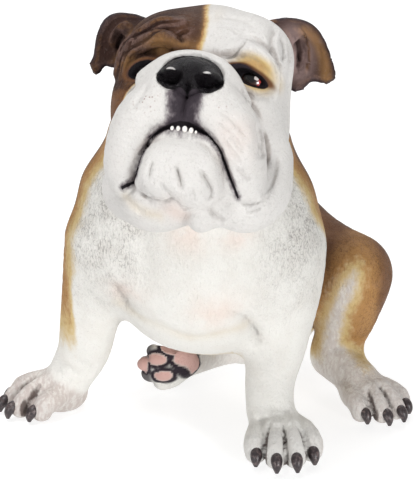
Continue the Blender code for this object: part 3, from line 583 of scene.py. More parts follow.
def softMin(a, b, blend):    # the lesser of two, rounded over where they meet
    h = np.maximum(blend - np.abs(a - b), 0) / blend
    return np.minimum(a, b) - h * h * blend / 4


def groupGap(p, one):
    low = np.min([m["box"][0] for m in one["masses"]], axis=0) - casting["margin"]
    high = np.max([m["box"][1] for m in one["masses"]], axis=0) + casting["margin"]
    inReach = np.nonzero(((p > low) & (p < high)).all(1))[0]
    gap = np.full(len(p), casting["far"])
    if len(inReach):
        q = p[inReach]
        d = np.full(len(q), casting["far"])
        for mass in one["masses"]:
            d = softMin(d, massGap(q, mass), mass["blend"])
        gap[inReach] = d
    return gap


def leastGap(gaps, names):
    return np.minimum.reduce([gaps[name] for name in names])


# A crease is two soft grooves in one, a narrow and a wide
groove = {
    "reach": 4.5,         # this and the next two are in widths of the crease
    "narrow": 0.7,
    "wide": 2,
    "narrowPart": 0.65,
    "widePart": 0.35,
    "tapersFrom": -0.04,  # shares of its length
    "taperEnds": 0.26,
    "behind": 1.3,        # drawn centimetres
}


def creaseDepth(p, one, outward=None):    # outward: the surface's directions, where the crease is to fade edge-on
    q = toLocal(p, one["spot"])
    flat = q[:, [0, 2]]
    reach = groove["reach"] * one["width"]
    low, high = one["line"].min(0) - reach, one["line"].max(0) + reach
    inReach = np.nonzero(((flat > low) & (flat < high)).all(1) & (q[:, 1] < one["front"]))[0]
    deep = np.zeros(len(p))
    if len(inReach):
        gap, along = lineGap(flat[inReach], one["line"])
        taper = rise(np.minimum(along, 1 - along), groove["tapersFrom"], groove["taperEnds"])
        taper = taper * rise(one["front"] - q[inReach, 1], 0.0, groove["behind"])
        if outward is not None:
            taper = taper * rise(-(outward[inReach] @ one["spot"][:3, 1]), *one["facing"])
        gap = gap / one["width"]
        cut = groove["narrowPart"] * np.exp(-(gap / groove["narrow"]) ** 2)
        cut = cut + groove["widePart"] * np.exp(-(gap / groove["wide"]) ** 2)
        deep[inReach] = one["depth"] * taper * cut
    return deep


def form(p):    # signed distance to the figure before its creases, below zero inside
    total = np.full(len(p), casting["far"])
    for one in figure.values():
        gap = groupGap(p, one)
        if one["cut"]:
            total = -softMin(-total, gap, one["blend"])
        else:
            total = softMin(total, gap, one["blend"])
    return total


def settle(p, rounds):    # moves points along the form's slope to the carved surface
    step = casting["probe"]
    for _ in range(rounds):
        d = form(p)
        slope = np.column_stack([form(p + step * np.eye(3)[i]) - d for i in range(3)]) / step
        steep = np.maximum((slope ** 2).sum(1), 0.25)
        outward = slope / np.sqrt(steep)[:, None]
        d = d + sum(creaseDepth(p, one, outward) for one in carving)
        move = -(d / steep)[:, None] * slope
        size = np.linalg.norm(move, axis=1, keepdims=True)
        p = p + 0.9 * move * np.minimum(1, casting["longestMove"] / np.maximum(size, 1e-9))
    return p


def pointsOf(mesh, what="co"):
    flat = np.empty(len(mesh.vertices) * 3, np.float32)
    mesh.vertices.foreach_get(what, flat)
    return flat.reshape(-1, 3).astype(float)


def putPoints(mesh, p):
    mesh.vertices.foreach_set("co", p.astype(np.float32).ravel())
    mesh.update()


def edgesOf(mesh):
    flat = np.empty(len(mesh.edges) * 2, np.int32)
    mesh.edges.foreach_get("vertices", flat)
    return flat.reshape(-1, 2)


def relaxed(values, edges, rounds):    # each value drawn towards the mean of its neighbours
    count = np.bincount(edges.ravel(), minlength=len(values)).astype(float)
    shape = count if values.ndim == 1 else count[:, None]
    for _ in range(rounds):
        total = np.zeros_like(values)
        np.add.at(total, edges[:, 0], values[edges[:, 1]])
        np.add.at(total, edges[:, 1], values[edges[:, 0]])
        values = 0.5 * values + 0.5 * total / shape
    return values


def remeshed(mesh, grain):    # an even skin with no folds, over whatever the mesh holds
    blank = bpy.data.objects.new("blank", mesh)
    bpy.context.scene.collection.objects.link(blank)
    remesh = blank.modifiers.new("skin", "REMESH")
    remesh.mode = "VOXEL"
    remesh.voxel_size = grain * casting["unit"]
    bpy.context.view_layer.update()
    skin = bpy.data.meshes.new_from_object(blank.evaluated_get(bpy.context.evaluated_depsgraph_get()))
    bpy.data.objects.remove(blank)
    bpy.data.meshes.remove(mesh)
    return skin


def castingBlank():    # the solid itself, closed and ready to carve
    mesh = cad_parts["bulldog"].data.copy()
    bm = bmesh.new()
    bm.from_mesh(mesh)
    bmesh.ops.remove_doubles(bm, verts=bm.verts, dist=1e-6)
    bm.to_mesh(mesh)
    bm.free()
    return remeshed(mesh, casting["grain"])


def needsDetail(p, level):    # first the head and the paws, then the carved lines of the face alone
    h = toLocal(p, headSpot)
    gaps = {name: groupGap(p, one) for name, one in figure.items()}
    if level:
        onFace = [one for one in carving if one["spot"] is headSpot]
        worked = sum(np.abs(creaseDepth(p, one)) / abs(one["depth"]) for one in onFace)
        small = leastGap(gaps, ("lids", "nose", "eyeBeds"))
        return ((worked > casting["worked"]) | (small < 0.35)) & (h[:, 1] < casting["fineTo"][1])
    onFace = leastGap(gaps, ("skull", "brows", "lids", "muzzle", "nose", "chin", "dewlap")) < 0.6
    onFace &= (h[:, 1] < casting["fineTo"][0]) & (h[:, 2] < casting["fineTop"])
    onEar = leastGap(gaps, ("leftEar", "rightEar")) < 0.4
    onPaw = leastGap(gaps, [name for name in figure if name.startswith("paw")]) < 0.6
    onPaw &= (p[:, 2] < casting["finePaws"]) & (p[:, 2] > 0.2)
    return onFace | onEar | onPaw


def refine(mesh, level):
    wanted = needsDetail(toDrawn(pointsOf(mesh)), level)
    bm = bmesh.new()
    bm.from_mesh(mesh)
    edges = [edge for edge in bm.edges if wanted[edge.verts[0].index] and wanted[edge.verts[1].index]]
    bmesh.ops.subdivide_edges(bm, edges=edges, cuts=1, use_grid_fill=True)
    bm.to_mesh(mesh)
    bm.free()


def carve(mesh, rounds):
    p = toDrawn(pointsOf(mesh))
    standing = p[:, 2] < casting["standing"]
    moved = settle(p, rounds)
    moved[standing, 2] = 0
    moved[:, 2] = np.maximum(moved[:, 2], 0)
    putPoints(mesh, toStatue(moved))


def evenOut(mesh):
    p = pointsOf(mesh)
    standing = p[:, 2] < casting["standing"] * casting["unit"]
    smooth = relaxed(p, edgesOf(mesh), 1)
    smooth[standing] = p[standing]
    putPoints(mesh, smooth)


def sculptSkin():
    mesh = castingBlank()
    carve(mesh, 3)
    mesh = remeshed(mesh, casting["grain"])
    carve(mesh, 1)
    for level in (0, 1):
        refine(mesh, level)
        evenOut(mesh)
        carve(mesh, 2)
    evenOut(mesh)
    carve(mesh, 1)
    print("skin carved:", sum(len(face.vertices) - 2 for face in mesh.polygons), "triangles")
    return mesh


def near(flat, spot, size):    # 1 at the spot, fading away over the size
    return np.exp(-(((flat - np.array(spot)) / size) ** 2).sum(1))


# How the painter laid the colours on; distances in drawn centimetres
painting = {
    # at these heights on the head, where the brown begins
    "splitHead": ([-3, 2.4, 4.4, 6.1, 8.5, 12], [0.0, 0.0, 0.25, 0.0, -0.8, -1.2]),
    "bodyEdge": 3.0,
    "armBrownEnds": 13.6,
    "paleThigh": [(13.2, 6.0), (14.1, 12.5), (15.3, 16.5), (17.2, 18.9), (18.4, 19.3), (19.1, 18.0),
                  (18.7, 15.5), (17.6, 12.0), (17.3, 8.2), (20.0, 5.9), (30.0, 5.4), (30.0, -2.0),
                  (12.0, -2.0)],
    # the rim of each eye: its middle, lean, half width and half height
    "leftRim": ((5.8, 0.17), -0.28, 1.95, 0.8),
    "rightRim": ((-5.6, -0.30), 0.32, 1.9, 0.9),
    "halo": ((6.0, 0.75), -0.25, 3.2, 2.2),         # the gold round the left eye
    "headGold": [((-4.0, 2.3), (1.5, 0.8), 1.0, 2), ((-1.0, 2.6), (1.2, 0.9), 0.5, 2),
                 ((-7.2, 0.1), (0.8, 1.0), 0.8, 3)],    # spot, size, strength, how far back
    "chestLine": [(-10.5, 17.3), (-7.9, 16.0), (-5.6, 15.3), (-2.0, 13.9), (2.3, 14.8), (4.2, 15.3)],
    "jowlLine": [(-5.2, -14.1), (-3.9, -15.1), (-2.5, -15.7), (-1.1, -15.9)],
    "bodyBlush": [((-2.1, 27.0), 1.8), ((3.4, 26.6), 1.3), ((-9.6, 19.2), 1.5), ((0.9, 17.8), 2.2)],
    "philtrum": [(0.35, -2.6), (0.35, -6.8)],
    "mouthWidth": 0.14,    # and how much wider its middle is
    "mouthMiddle": 0.17,
    "shutReach": ((0.9, 0.4), (2.6, 0.6)),    # how far out a hollow is looked for, and each distance's part
    "toeLine": 0.25,
}


def storeLayers(mesh, layers):
    for name, values in layers.items():
        layer = mesh.attributes.new(name, "FLOAT", "POINT")
        layer.data.foreach_set("value", values.astype(np.float32))


def eyeGap(h, centre, lean, wide, high):    # 1 at the rim of the eye
    u = (h[:, 0] - centre[0]) * math.cos(lean) + (h[:, 2] - centre[1]) * math.sin(lean)
    v = -(h[:, 0] - centre[0]) * math.sin(lean) + (h[:, 2] - centre[1]) * math.cos(lean)
    return np.hypot(u / wide, v / high)


def paintSkin(mesh):
    p = toDrawn(pointsOf(mesh))
    edges = edgesOf(mesh)
    normal = pointsOf(mesh, "normal")
    h = toLocal(p, headSpot)
    flat = h[:, [0, 2]]
    front = p[:, [0, 2]]
    gaps = {name: groupGap(p, one) for name, one in figure.items()}
    snout = leastGap(gaps, ("muzzle", "nose", "chin", "dewlap"))
    face = np.minimum(leastGap(gaps, ("skull", "brows", "lids")), snout)
    trunk = leastGap(gaps, ("body", "frontRightArm", "frontLeftArm", "hindLeftLeg", "hindRightLeg", "tail"))
    ears = leastGap(gaps, ("leftEar", "rightEar"))
    onHead = rise(np.minimum(trunk, 3) - np.minimum(face, 3), -0.3, 0.3)
    onHead = np.maximum(onHead, (p[:, 2] > 42).astype(float))

    # brown coat: over the dog's right half of the head, and all its back
    split = np.interp(h[:, 2], *painting["splitHead"])
    headCoat = np.minimum(split - h[:, 0], 2.2 * (snout - 0.3))
    headCoat = np.minimum(headCoat, 0.8 * (h[:, 2] + 9.0))
    headCoat = np.maximum(headCoat, np.minimum(h[:, 1] - 9.0, h[:, 2] + 7.0))
    x, y, z = p.T
    edgeY = painting["bodyEdge"] + 3.5 * rise(x, 8, 12) * (1 - rise(z, 22, 28))
    edgeY += 7.0 * rise(x, -16.6, -14.6) * (1 - rise(z, 17, 21)) * (y < 14) * (x < -4)
    bodyCoat = y - edgeY
    fading = 0.4 * (z - painting["armBrownEnds"])
    bodyCoat = np.minimum(bodyCoat, np.maximum.reduce([y - 16.0, fading, x - 11.0]))
    bodyCoat = np.minimum(bodyCoat, z - 6.5 + 4.0 * rise(y, 24, 30))
    bodyCoat = np.where(gaps["pawTucked"] < 1.2, -3.0, bodyCoat)
    inner = outlineGap(front, np.array(painting["paleThigh"]))
    legFront = np.where((y < 16.5) & (x > 11.5), inner, 9.0)
    bodyCoat = np.minimum(bodyCoat, 1.3 * legFront)
    coat = np.where(onHead > 0.5, headCoat, bodyCoat)
    coat = np.where(ears < 0.4, 2.0, coat)
    coat = np.clip(relaxed(np.clip(coat, -3, 3), edges, 2), -3, 3)

    # how dark the brown is, from golden at 0 to chocolate at 1
    tone = 0.10 + 0.55 * rise(bodyCoat, 0.8, 5.0)
    tone = np.where((x > 18.0) & (y < 20) & (z < 18.5), 0.12 + 0.35 * rise(x, 20.2, 21.6), tone)
    tone = np.where(onHead > 0.5, 0.80 + 0.12 * rise(-h[:, 0], 2, 8), tone)
    tone = np.where((onHead > 0.5) & (h[:, 2] < -2.5), 0.5, tone)
    tone = np.where(ears < 0.4, 0.97, tone)
    tone = relaxed(tone, edges, 5)

    leftRim = eyeGap(h, *painting["leftRim"])
    rightRim = eyeGap(h, *painting["rightRim"])
    besideMuzzle = rise(gaps["muzzle"], 0.05, 0.4)

    # golden airbrush: round the eyes, along the head's split, on the chest fold and the jowl
    halo = eyeGap(h, *painting["halo"])
    gold = 0.85 * (1 - rise(halo, 0.3, 1.2)) * (h[:, 0] > 2.0) * (h[:, 1] < 3) * besideMuzzle
    for spot, size, strength, back in painting["headGold"]:
        gold += strength * near(flat, spot, size) * (h[:, 1] < back)
    gold += 0.55 * np.exp(-((coat - 0.1) / 0.35) ** 2) * onHead * (h[:, 2] > 1) * (h[:, 1] < 6)
    chest = lineGap(front, smoothLine(painting["chestLine"], 3))[0]
    gold += 0.17 * np.exp(-(chest / 0.9) ** 2) * (y < 3)
    jowl = lineGap(flat, smoothLine(painting["jowlLine"], 3))[0]
    gold += 0.2 * np.exp(-(jowl / 0.7) ** 2) * (h[:, 1] < 2)
    gold += 0.16 * near(flat, (0.9, 7.4), (1.0, 1.8)) * onHead
    gold += 0.5 * np.exp(-((bodyCoat + 0.3) / 1.1) ** 2) * (1 - onHead)

    blush = np.zeros(len(p))
    for spot, size in painting["bodyBlush"]:
        blush += 0.36 * near(front, spot, (size * 1.3, size)) * (y < 3)
    blush += 0.35 * near(flat, (0.6, -15.2), (1.6, 0.8)) * (h[:, 1] < 1)
    blush += 0.25 * near(flat, (6.0, -7.4), (1.8, 2.2)) * (h[:, 1] < 0)

    # smoky purple-black airbrush between the nose and the mouth, along the lips and by the eyes
    philtrum = lineGap(flat, np.array(painting["philtrum"]))[0]
    smoke = (1 - rise(philtrum + 0.12 * np.abs(h[:, 2] + 4.4), 0.7, 2.7)) * (h[:, 2] > -7.2)
    mouth = np.minimum(*[lineGap(flat, smoothLine(line, 3))[0] for line in (mouthRight, mouthLeft)])
    smoke += 0.62 * np.exp(-(mouth / 0.42) ** 2)
    smoke += 0.6 * np.exp(-(philtrum / 0.55) ** 2) + 0.6 * near(flat, (0.4, -3.3), (1.7, 0.6))
    smoke += 0.35 * near(flat, (0.4, -7.4), (2.8, 0.9))
    smoke = smoke * (h[:, 1] < 0.5)
    smoke = np.clip(smoke, 0, 1.6) * (gaps["body"] > 0.3)
    upper = rise(h[:, 2] - 0.3 + 0.28 * (h[:, 0] - 5.75), -0.6, 0.4)
    lidShade = 0.75 * (1 - rise(leftRim, 1.0, 1.75)) * (0.3 + 0.7 * upper)
    lidShade += 0.9 * near(flat, (4.3, 1.25), (1.2, 0.45))
    lidShade += 0.8 * (1 - rise(rightRim, 0.95, 1.6))
    lidShade = np.clip(lidShade * (h[:, 1] < 2) * besideMuzzle, 0, 1)

    # black: the nose, the lips and the rims of the eyes
    lip = painting["mouthWidth"] + painting["mouthMiddle"] * np.exp(-((h[:, 0] - 0.4) / 2.0) ** 2)
    black = np.minimum(lip - mouth, 0.8) - 5.0 * (h[:, 1] > 0.5)
    noseGap = gaps["nose"] - 0.12
    black = np.maximum(black, -2.0 * noseGap - 4.0 * (noseGap > 0.5))
    for rim in (leftRim, rightRim):
        lined = np.minimum(1.2 * (1.0 - rim), 0.6) - 6.0 * (gaps["muzzle"] < 0.05)
        black = np.where(h[:, 1] < 2, np.maximum(black, lined), black)

    gloss = rise(-noseGap, -0.1, 0.1)
    length = np.linalg.norm(p[edges[:, 0]] - p[edges[:, 1]], axis=1)
    spacing = np.bincount(edges.ravel(), np.repeat(length, 2)) / np.bincount(edges.ravel())
    hollow = np.einsum("ij,ij->i", relaxed(p, edges, 10) - p, normal) / relaxed(spacing, edges, 3) ** 2
    # how strongly the surface cups, about the same on fine and coarse skin
    hollow = relaxed(hollow, edges, 3)
    # how shut in each point is, found by looking outwards a little way and further; it sets the painted shade in
    # the hollows
    here = form(p)
    shut = sum(np.clip(1 - (form(p + reach * normal) - here) / reach, 0, 1) * part
               for reach, part in painting["shutReach"])
    shut = relaxed(shut * (0.35 + 0.65 * rise(p[:, 2], 2.0, 8.0)), edges, 2)    # kept faint on the paws
    # how far into a crease each point lies; it sets the painted shade in the creases
    carved = sum(creaseDepth(p, one, normal) / max(one["depth"], 0.5) for one in carving if one["depth"] > 0)

    # ears: a pinkish-grey hollow, a golden band and a near-black rim
    earInner = np.zeros(len(p))
    earRim = np.zeros(len(p))
    for name, ear in (("leftEar", leftEar), ("rightEar", rightEar)):
        q = toLocal(p, ear["spot"])
        earFlat = q[:, [0, 2]]
        onEar = (gaps[name] < 0.4) * rise(-(normal @ ear["spot"][:3, 1]), -0.1, 0.3)
        earInner = np.maximum(earInner, ear["pink"] * near(earFlat, *ear["hollow"]) * onEar)
        band = np.exp(-(lineGap(earFlat, smoothLine(ear["band"], 3))[0] / 0.6) ** 2)
        gold += 0.75 * band * onEar
        rimGap = outlineGap(earFlat, smoothLine(ear["outline"], 3, closed=True))
        rim = np.exp(-(np.maximum(-rimGap, 0) / 0.42) ** 2) * (gaps[name] < 0.4)
        earRim = np.maximum(earRim, rim * (earFlat[:, 0] * ear["side"] > -3.0))

    # dark lines between the toes, pink pads in dark rims, and the mauve-grey of the thin-haired parts
    toeLine = np.zeros(len(p))
    for name in standingPaws:
        local = toLocal(p, paws[name]["spot"]) / paws[name]["size"]
        onPaw = (gaps["paw" + name[0].upper() + name[1:]] < 0.6) & (local[:, 2] < 4.2)
        for one in toeGaps:
            apart = lineGap(local[:, :2], smoothLine(np.array(one["points"]), 3))[0]
            dark = np.exp(-(apart / painting["toeLine"]) ** 2) * rise(-local[:, 1], 1.8, 4.2)
            toeLine = np.maximum(toeLine, dark * onPaw)
    pads = rise(0.16 - gaps["pads"], 0, 0.12)
    padRim = rise(0.75 - gaps["pads"], 0, 0.3) * (1 - pads) * (gaps["pawTucked"] < 0.6)
    padRim = np.maximum(padRim, 0.85 * (1 - pads) * (gaps["pawTucked"] < 0.5) * rise(-x, 6.4, 7.6))
    mauve = rise(-legFront, 0.0, 1.2) * (legFront < 8) * 0.55
    mauve = np.maximum(mauve, 0.35 * rise(1.2 - gaps["hindRightLeg"], 0.6, 1.1) * (y > 12))
    mauve = np.maximum(mauve, 0.75 * rise(1.0 - gaps["pawFrontRight"], 0, 0.8) * (1 - rise(z, 4, 8)))
    fur = rise(z, 12, 20) * (1 - onHead) * (0.12 + 0.88 * rise(np.abs(x + 0.5), 4.5, 9.5)) * (y < 8)
    fur = np.clip(fur, 0, 1) * (1 - rise(z, 37, 41)) * (0.45 + 0.55 * rise(z, 19, 27))
    pores = 0.9 * near(flat, (-3.6, -4.6), (1.4, 1.5)) + 0.6 * near(flat, (4.1, -4.6), (1.3, 1.2))
    pores = pores * (h[:, 1] < 0) * (gaps["muzzle"] < 0.3)
    gold = np.clip(gold, 0, 1)

    storeLayers(mesh, {
        "coat": coat, "tone": tone, "gold": gold, "blush": blush, "smoke": smoke, "black": black,
        "gloss": gloss, "hollow": hollow, "carved": np.clip(carved, 0, 1), "earRim": earRim,
        "earInner": earInner, "pads": pads, "padRim": padRim, "mauve": mauve, "fur": fur, "pores": pores,
        "toeLine": toeLine, "onHead": onHead, "lidShade": lidShade, "shut": shut,
    })
    print("paint layers laid")


# Colours of the paint, as linear light
paint = {
    "cream": (0.815, 0.80, 0.76, 1),
    "creamShade": (0.70, 0.65, 0.59, 1),
    "headCream": (0.62, 0.60, 0.59, 1),
    "greyHair": (0.22, 0.20, 0.19, 1),
    "straw": (0.62, 0.46, 0.21, 1),
    "golden": (0.44, 0.235, 0.085, 1),
    "coatBrown": (0.155, 0.070, 0.032, 1),
    "chocolate": (0.042, 0.020, 0.015, 1),
    # this and amber: the painted highlights on the ridges of the brown coat
    "chocolateHighlight": (0.200, 0.125, 0.108, 1),
    "amber": (0.210, 0.105, 0.045, 1),
    "blush": (0.83, 0.53, 0.42, 1),
    "mauve": (0.50, 0.42, 0.39, 1),
    "smoke": (0.026, 0.019, 0.026, 1),
    "smokeThin": (0.115, 0.09, 0.105, 1),
    "black": (0.007, 0.005, 0.007, 1),
    "earInside": (0.50, 0.36, 0.34, 1),
    "pad": (0.60, 0.38, 0.34, 1),
    "wash": (0.075, 0.048, 0.040, 1),
    # painted shade in the hollows of the cream
    "hollowShade": (0.40, 0.34, 0.31, 1),
    # grey for the fine pits, and for the painted shade in the creases
    "pitAndCreaseShade": (0.24, 0.195, 0.18, 1),
    "pore": (0.36, 0.26, 0.23, 1),
}


# How the paint is broken up and how it shines; scales are in waves to the metre, heights in metres
finish = {
    "cloud": 38,
    "speckle": 620,
    "hairs": 250,
    "crossHairs": 230,
    "ragged": 170,
    "broken": 330,
    "fine": 330,
    "pricks": 210,
    "stain": 290,
    "hairDepth": 0.0036,
    "stainDepth": 0.0026,
    "noseDepth": 0.0030,
    "rough": (0.50, 0.62),
    "noseSmoother": 0.26,
    "specular": 0.13,
    "noseSpecular": 0.14,
}


class nodeKit:    # short hands for laying out a material's nodes
    def __init__(self, material):
        self.tree = material.node_tree
        self.shader = self.tree.nodes["Principled BSDF"]
        self.coords = self.tree.nodes.new("ShaderNodeTexCoord")

    def link(self, a, b):
        self.tree.links.new(a, b)

    def put(self, value, socket):
        if isinstance(value, (int, float, tuple)):
            socket.default_value = value
        else:
            self.link(value, socket)

    def layer(self, name):
        node = self.tree.nodes.new("ShaderNodeAttribute")
        node.attribute_name = name
        return node.outputs["Fac"]

    def math(self, kind, a, b=0.0, clamp=False):
        node = self.tree.nodes.new("ShaderNodeMath")
        node.operation = kind
        node.use_clamp = clamp
        self.put(a, node.inputs[0])
        self.put(b, node.inputs[1])
        return node.outputs[0]

    def times(self, a, b, clamp=False):
        return self.math("MULTIPLY", a, b, clamp)

    def plus(self, a, b):
        return self.math("ADD", a, b)

    def ramp(self, value, low, high, toLow=0.0, toHigh=1.0, smooth=True):
        node = self.tree.nodes.new("ShaderNodeMapRange")
        node.interpolation_type = "SMOOTHSTEP" if smooth else "LINEAR"
        self.put(value, node.inputs["Value"])
        node.inputs["From Min"].default_value = low
        node.inputs["From Max"].default_value = high
        node.inputs["To Min"].default_value = toLow
        node.inputs["To Max"].default_value = toHigh
        return node.outputs["Result"]

    def mix(self, amount, a, b):
        node = self.tree.nodes.new("ShaderNodeMix")
        node.data_type = "RGBA"
        self.put(amount, node.inputs[0])
        self.put(a, node.inputs[6])
        self.put(b, node.inputs[7])
        return node.outputs[2]

    def noise(self, scale, detail=3.0, rough=0.55, stretch=None, turn=(0, 0, 0), wavy=0.0):
        node = self.tree.nodes.new("ShaderNodeTexNoise")
        node.inputs["Scale"].default_value = scale
        node.inputs["Detail"].default_value = detail
        node.inputs["Roughness"].default_value = rough
        node.inputs["Distortion"].default_value = wavy
        source = self.coords.outputs["Object"]
        if stretch:
            mapping = self.tree.nodes.new("ShaderNodeMapping")
            mapping.inputs["Scale"].default_value = stretch
            mapping.inputs["Rotation"].default_value = turn
            self.link(source, mapping.inputs["Vector"])
            source = mapping.outputs["Vector"]
        self.link(source, node.inputs["Vector"])
        return node.outputs["Fac"]

    def thinLines(self, value):    # the level line of a stretched noise reads as combed hair
        return self.ramp(self.math("ABSOLUTE", self.math("SUBTRACT", value, 0.5)), 0.012, 0.045, 1.0, 0.0)

    def dots(self, scale, size):
        node = self.tree.nodes.new("ShaderNodeTexVoronoi")
        node.inputs["Scale"].default_value = scale
        self.link(self.coords.outputs["Object"], node.inputs["Vector"])
        return self.ramp(node.outputs["Distance"], size, size + 0.16, 1.0, 0.0)

    def bump(self, height, strength, distance, below=None):
        node = self.tree.nodes.new("ShaderNodeBump")
        node.inputs["Strength"].default_value = strength
        node.inputs["Distance"].default_value = distance
        self.link(height, node.inputs["Height"])
        if below:
            self.link(below, node.inputs["Normal"])
        return node.outputs["Normal"]


def newMaterial(name):
    material = bpy.data.materials.new(name)
    material.use_nodes = True
    return material


def paintedResin():
    material = newMaterial("painted_resin")
    kit = nodeKit(material)
    cloud = kit.noise(finish["cloud"], 4.0)
    speckle = kit.noise(finish["speckle"], 2.0, 0.7)
    hairs = kit.noise(finish["hairs"], 1.0, 0.5, stretch=(1.0, 1.0, 0.32), turn=(0.25, 0.55, 0), wavy=0.5)
    crossHairs = kit.noise(finish["crossHairs"], 1.0, 0.5, stretch=(1.0, 1.0, 0.36), turn=(0.1, -0.5, 0.3),
                           wavy=0.5)
    ragged = kit.noise(finish["ragged"], 4.0, 0.65, stretch=(1.0, 1.0, 0.6))
    broken = kit.noise(finish["broken"], 1.0, 0.5)
    stain = kit.noise(finish["stain"], 5.0, 0.72)
    onHead = kit.layer("onHead")
    gloss = kit.layer("gloss")
    fur = kit.layer("fur")

    # the cream ground, with grey hairs drawn on it, then mauve, blush and gold
    colour = kit.mix(kit.ramp(cloud, 0.42, 0.72, 0, 0.22), paint["cream"], paint["creamShade"])
    colour = kit.mix(kit.ramp(onHead, 0, 1, 0, 0.6), colour, paint["headCream"])
    colour = kit.mix(kit.ramp(speckle, 0.60, 0.70, 0, 0.20), colour, paint["greyHair"])
    drawn = kit.math("MAXIMUM", kit.times(kit.thinLines(hairs), kit.ramp(broken, 0.40, 0.50)),
                     kit.times(kit.thinLines(crossHairs), kit.ramp(broken, 0.42, 0.58, 1.0, 0.0)))
    colour = kit.mix(kit.times(fur, kit.ramp(cloud, 0.35, 0.65, 0.04, 0.16)), colour, paint["greyHair"])
    strokes = kit.times(kit.times(drawn, kit.ramp(cloud, 0.36, 0.6, 0.3, 1.0)), fur)
    colour = kit.mix(kit.times(strokes, 0.62), colour, paint["greyHair"])
    colour = kit.mix(kit.times(kit.layer("pores"), kit.dots(finish["pricks"], 0.12)), colour, paint["pore"])
    greyed = kit.times(kit.layer("mauve"), kit.ramp(hairs, 0.35, 0.6, 0.45, 1.0))
    colour = kit.mix(greyed, colour, paint["mauve"])
    flushed = kit.times(kit.layer("blush"), kit.ramp(cloud, 0.3, 0.6, 0.25, 0.75))
    colour = kit.mix(flushed, colour, paint["blush"])
    airbrushed = kit.times(kit.layer("gold"), kit.ramp(cloud, 0.3, 0.65, 0.7, 1.0), clamp=True)
    colour = kit.mix(kit.ramp(airbrushed, 0.0, 0.6), colour, paint["straw"])
    colour = kit.mix(kit.ramp(airbrushed, 0.4, 1.0), colour, paint["golden"])

    # the brown coat, feathered at its edge and golden where it thins
    ruffle = kit.times(kit.ramp(ragged, 0.25, 0.75, -0.5, 0.5, smooth=False), kit.ramp(onHead, 0, 1, 1.5, 0.4))
    ruffled = kit.plus(kit.layer("coat"), ruffle)
    cover = kit.times(ruffled, kit.ramp(onHead, 0, 1, 0.45, 2.2))
    inCoat = kit.ramp(cover, -0.35, 0.5)
    shade = kit.plus(kit.layer("tone"), kit.ramp(cloud, 0.3, 0.7, -0.08, 0.08, smooth=False))
    coatColour = kit.mix(kit.ramp(shade, 0.05, 0.55), paint["golden"], paint["coatBrown"])
    coatColour = kit.mix(kit.ramp(shade, 0.5, 0.9), coatColour, paint["chocolate"])
    # painted highlight on the ridges of the brown coat, where the surface bulges out
    ridged = kit.ramp(kit.layer("hollow"), -1.2, 0.0, 1.0, 0.0)
    high = kit.times(ridged, kit.ramp(ragged, 0.35, 0.6, 0.3, 1.0))
    ridgeHighlightColour = kit.mix(kit.ramp(cloud, 0.42, 0.56), paint["chocolateHighlight"], paint["amber"])
    coatColour = kit.mix(kit.times(high, 0.6), coatColour, ridgeHighlightColour)
    coatColour = kit.mix(kit.times(drawn, 0.4), coatColour, paint["chocolate"])
    coatColour = kit.mix(kit.ramp(cover, 0.2, 0.9, 0.75, 0.0), coatColour, paint["golden"])
    colour = kit.mix(kit.ramp(cover, -0.9, -0.1, 0, 0.8), colour, paint["straw"])
    colour = kit.mix(inCoat, colour, coatColour)
    inEar = kit.times(kit.layer("earInner"), kit.ramp(cloud, 0.3, 0.6, 0.6, 1.0))
    colour = kit.mix(inEar, colour, paint["earInside"])
    onCoatGold = kit.times(kit.layer("gold"), inCoat, clamp=True)
    colour = kit.mix(kit.times(onCoatGold, 0.6), colour, paint["golden"])

    # painted shade in the hollows and at the bottoms of the creases, fine grey pits, and dark lines between the
    # toes
    # painted shade, darkest where the surface is most shut in, its edge broken by noise
    hollowShadeAmount = kit.plus(kit.layer("shut"), kit.times(kit.math("SUBTRACT", stain, 0.5), 0.5))
    hollowShadeColour = kit.mix(inCoat, paint["hollowShade"], paint["chocolate"])
    colour = kit.mix(kit.ramp(hollowShadeAmount, 0.28, 0.9, 0, 0.55), colour, hollowShadeColour)
    # painted shade at the bottoms of the deeper creases, black within the brown coat
    deep = kit.times(kit.ramp(kit.layer("carved"), 0.55, 1.05), kit.ramp(ragged, 0.3, 0.6, 0.45, 1.0))
    creaseShade = kit.times(deep, kit.ramp(onHead, 0, 1, 0.16, 0.36))
    colour = kit.mix(creaseShade, colour, kit.mix(inCoat, paint["pitAndCreaseShade"], paint["black"]))
    pitting = kit.times(kit.ramp(stain, 0.54, 0.66), kit.ramp(onHead, 0, 1, 0.05, 0.16))
    colour = kit.mix(pitting, colour, paint["pitAndCreaseShade"])
    between = kit.ramp(kit.plus(kit.layer("toeLine"), kit.ramp(ragged, 0.3, 0.7, -0.15, 0.15)), 0.15, 0.7)
    colour = kit.mix(kit.times(between, 0.85), colour, paint["wash"])

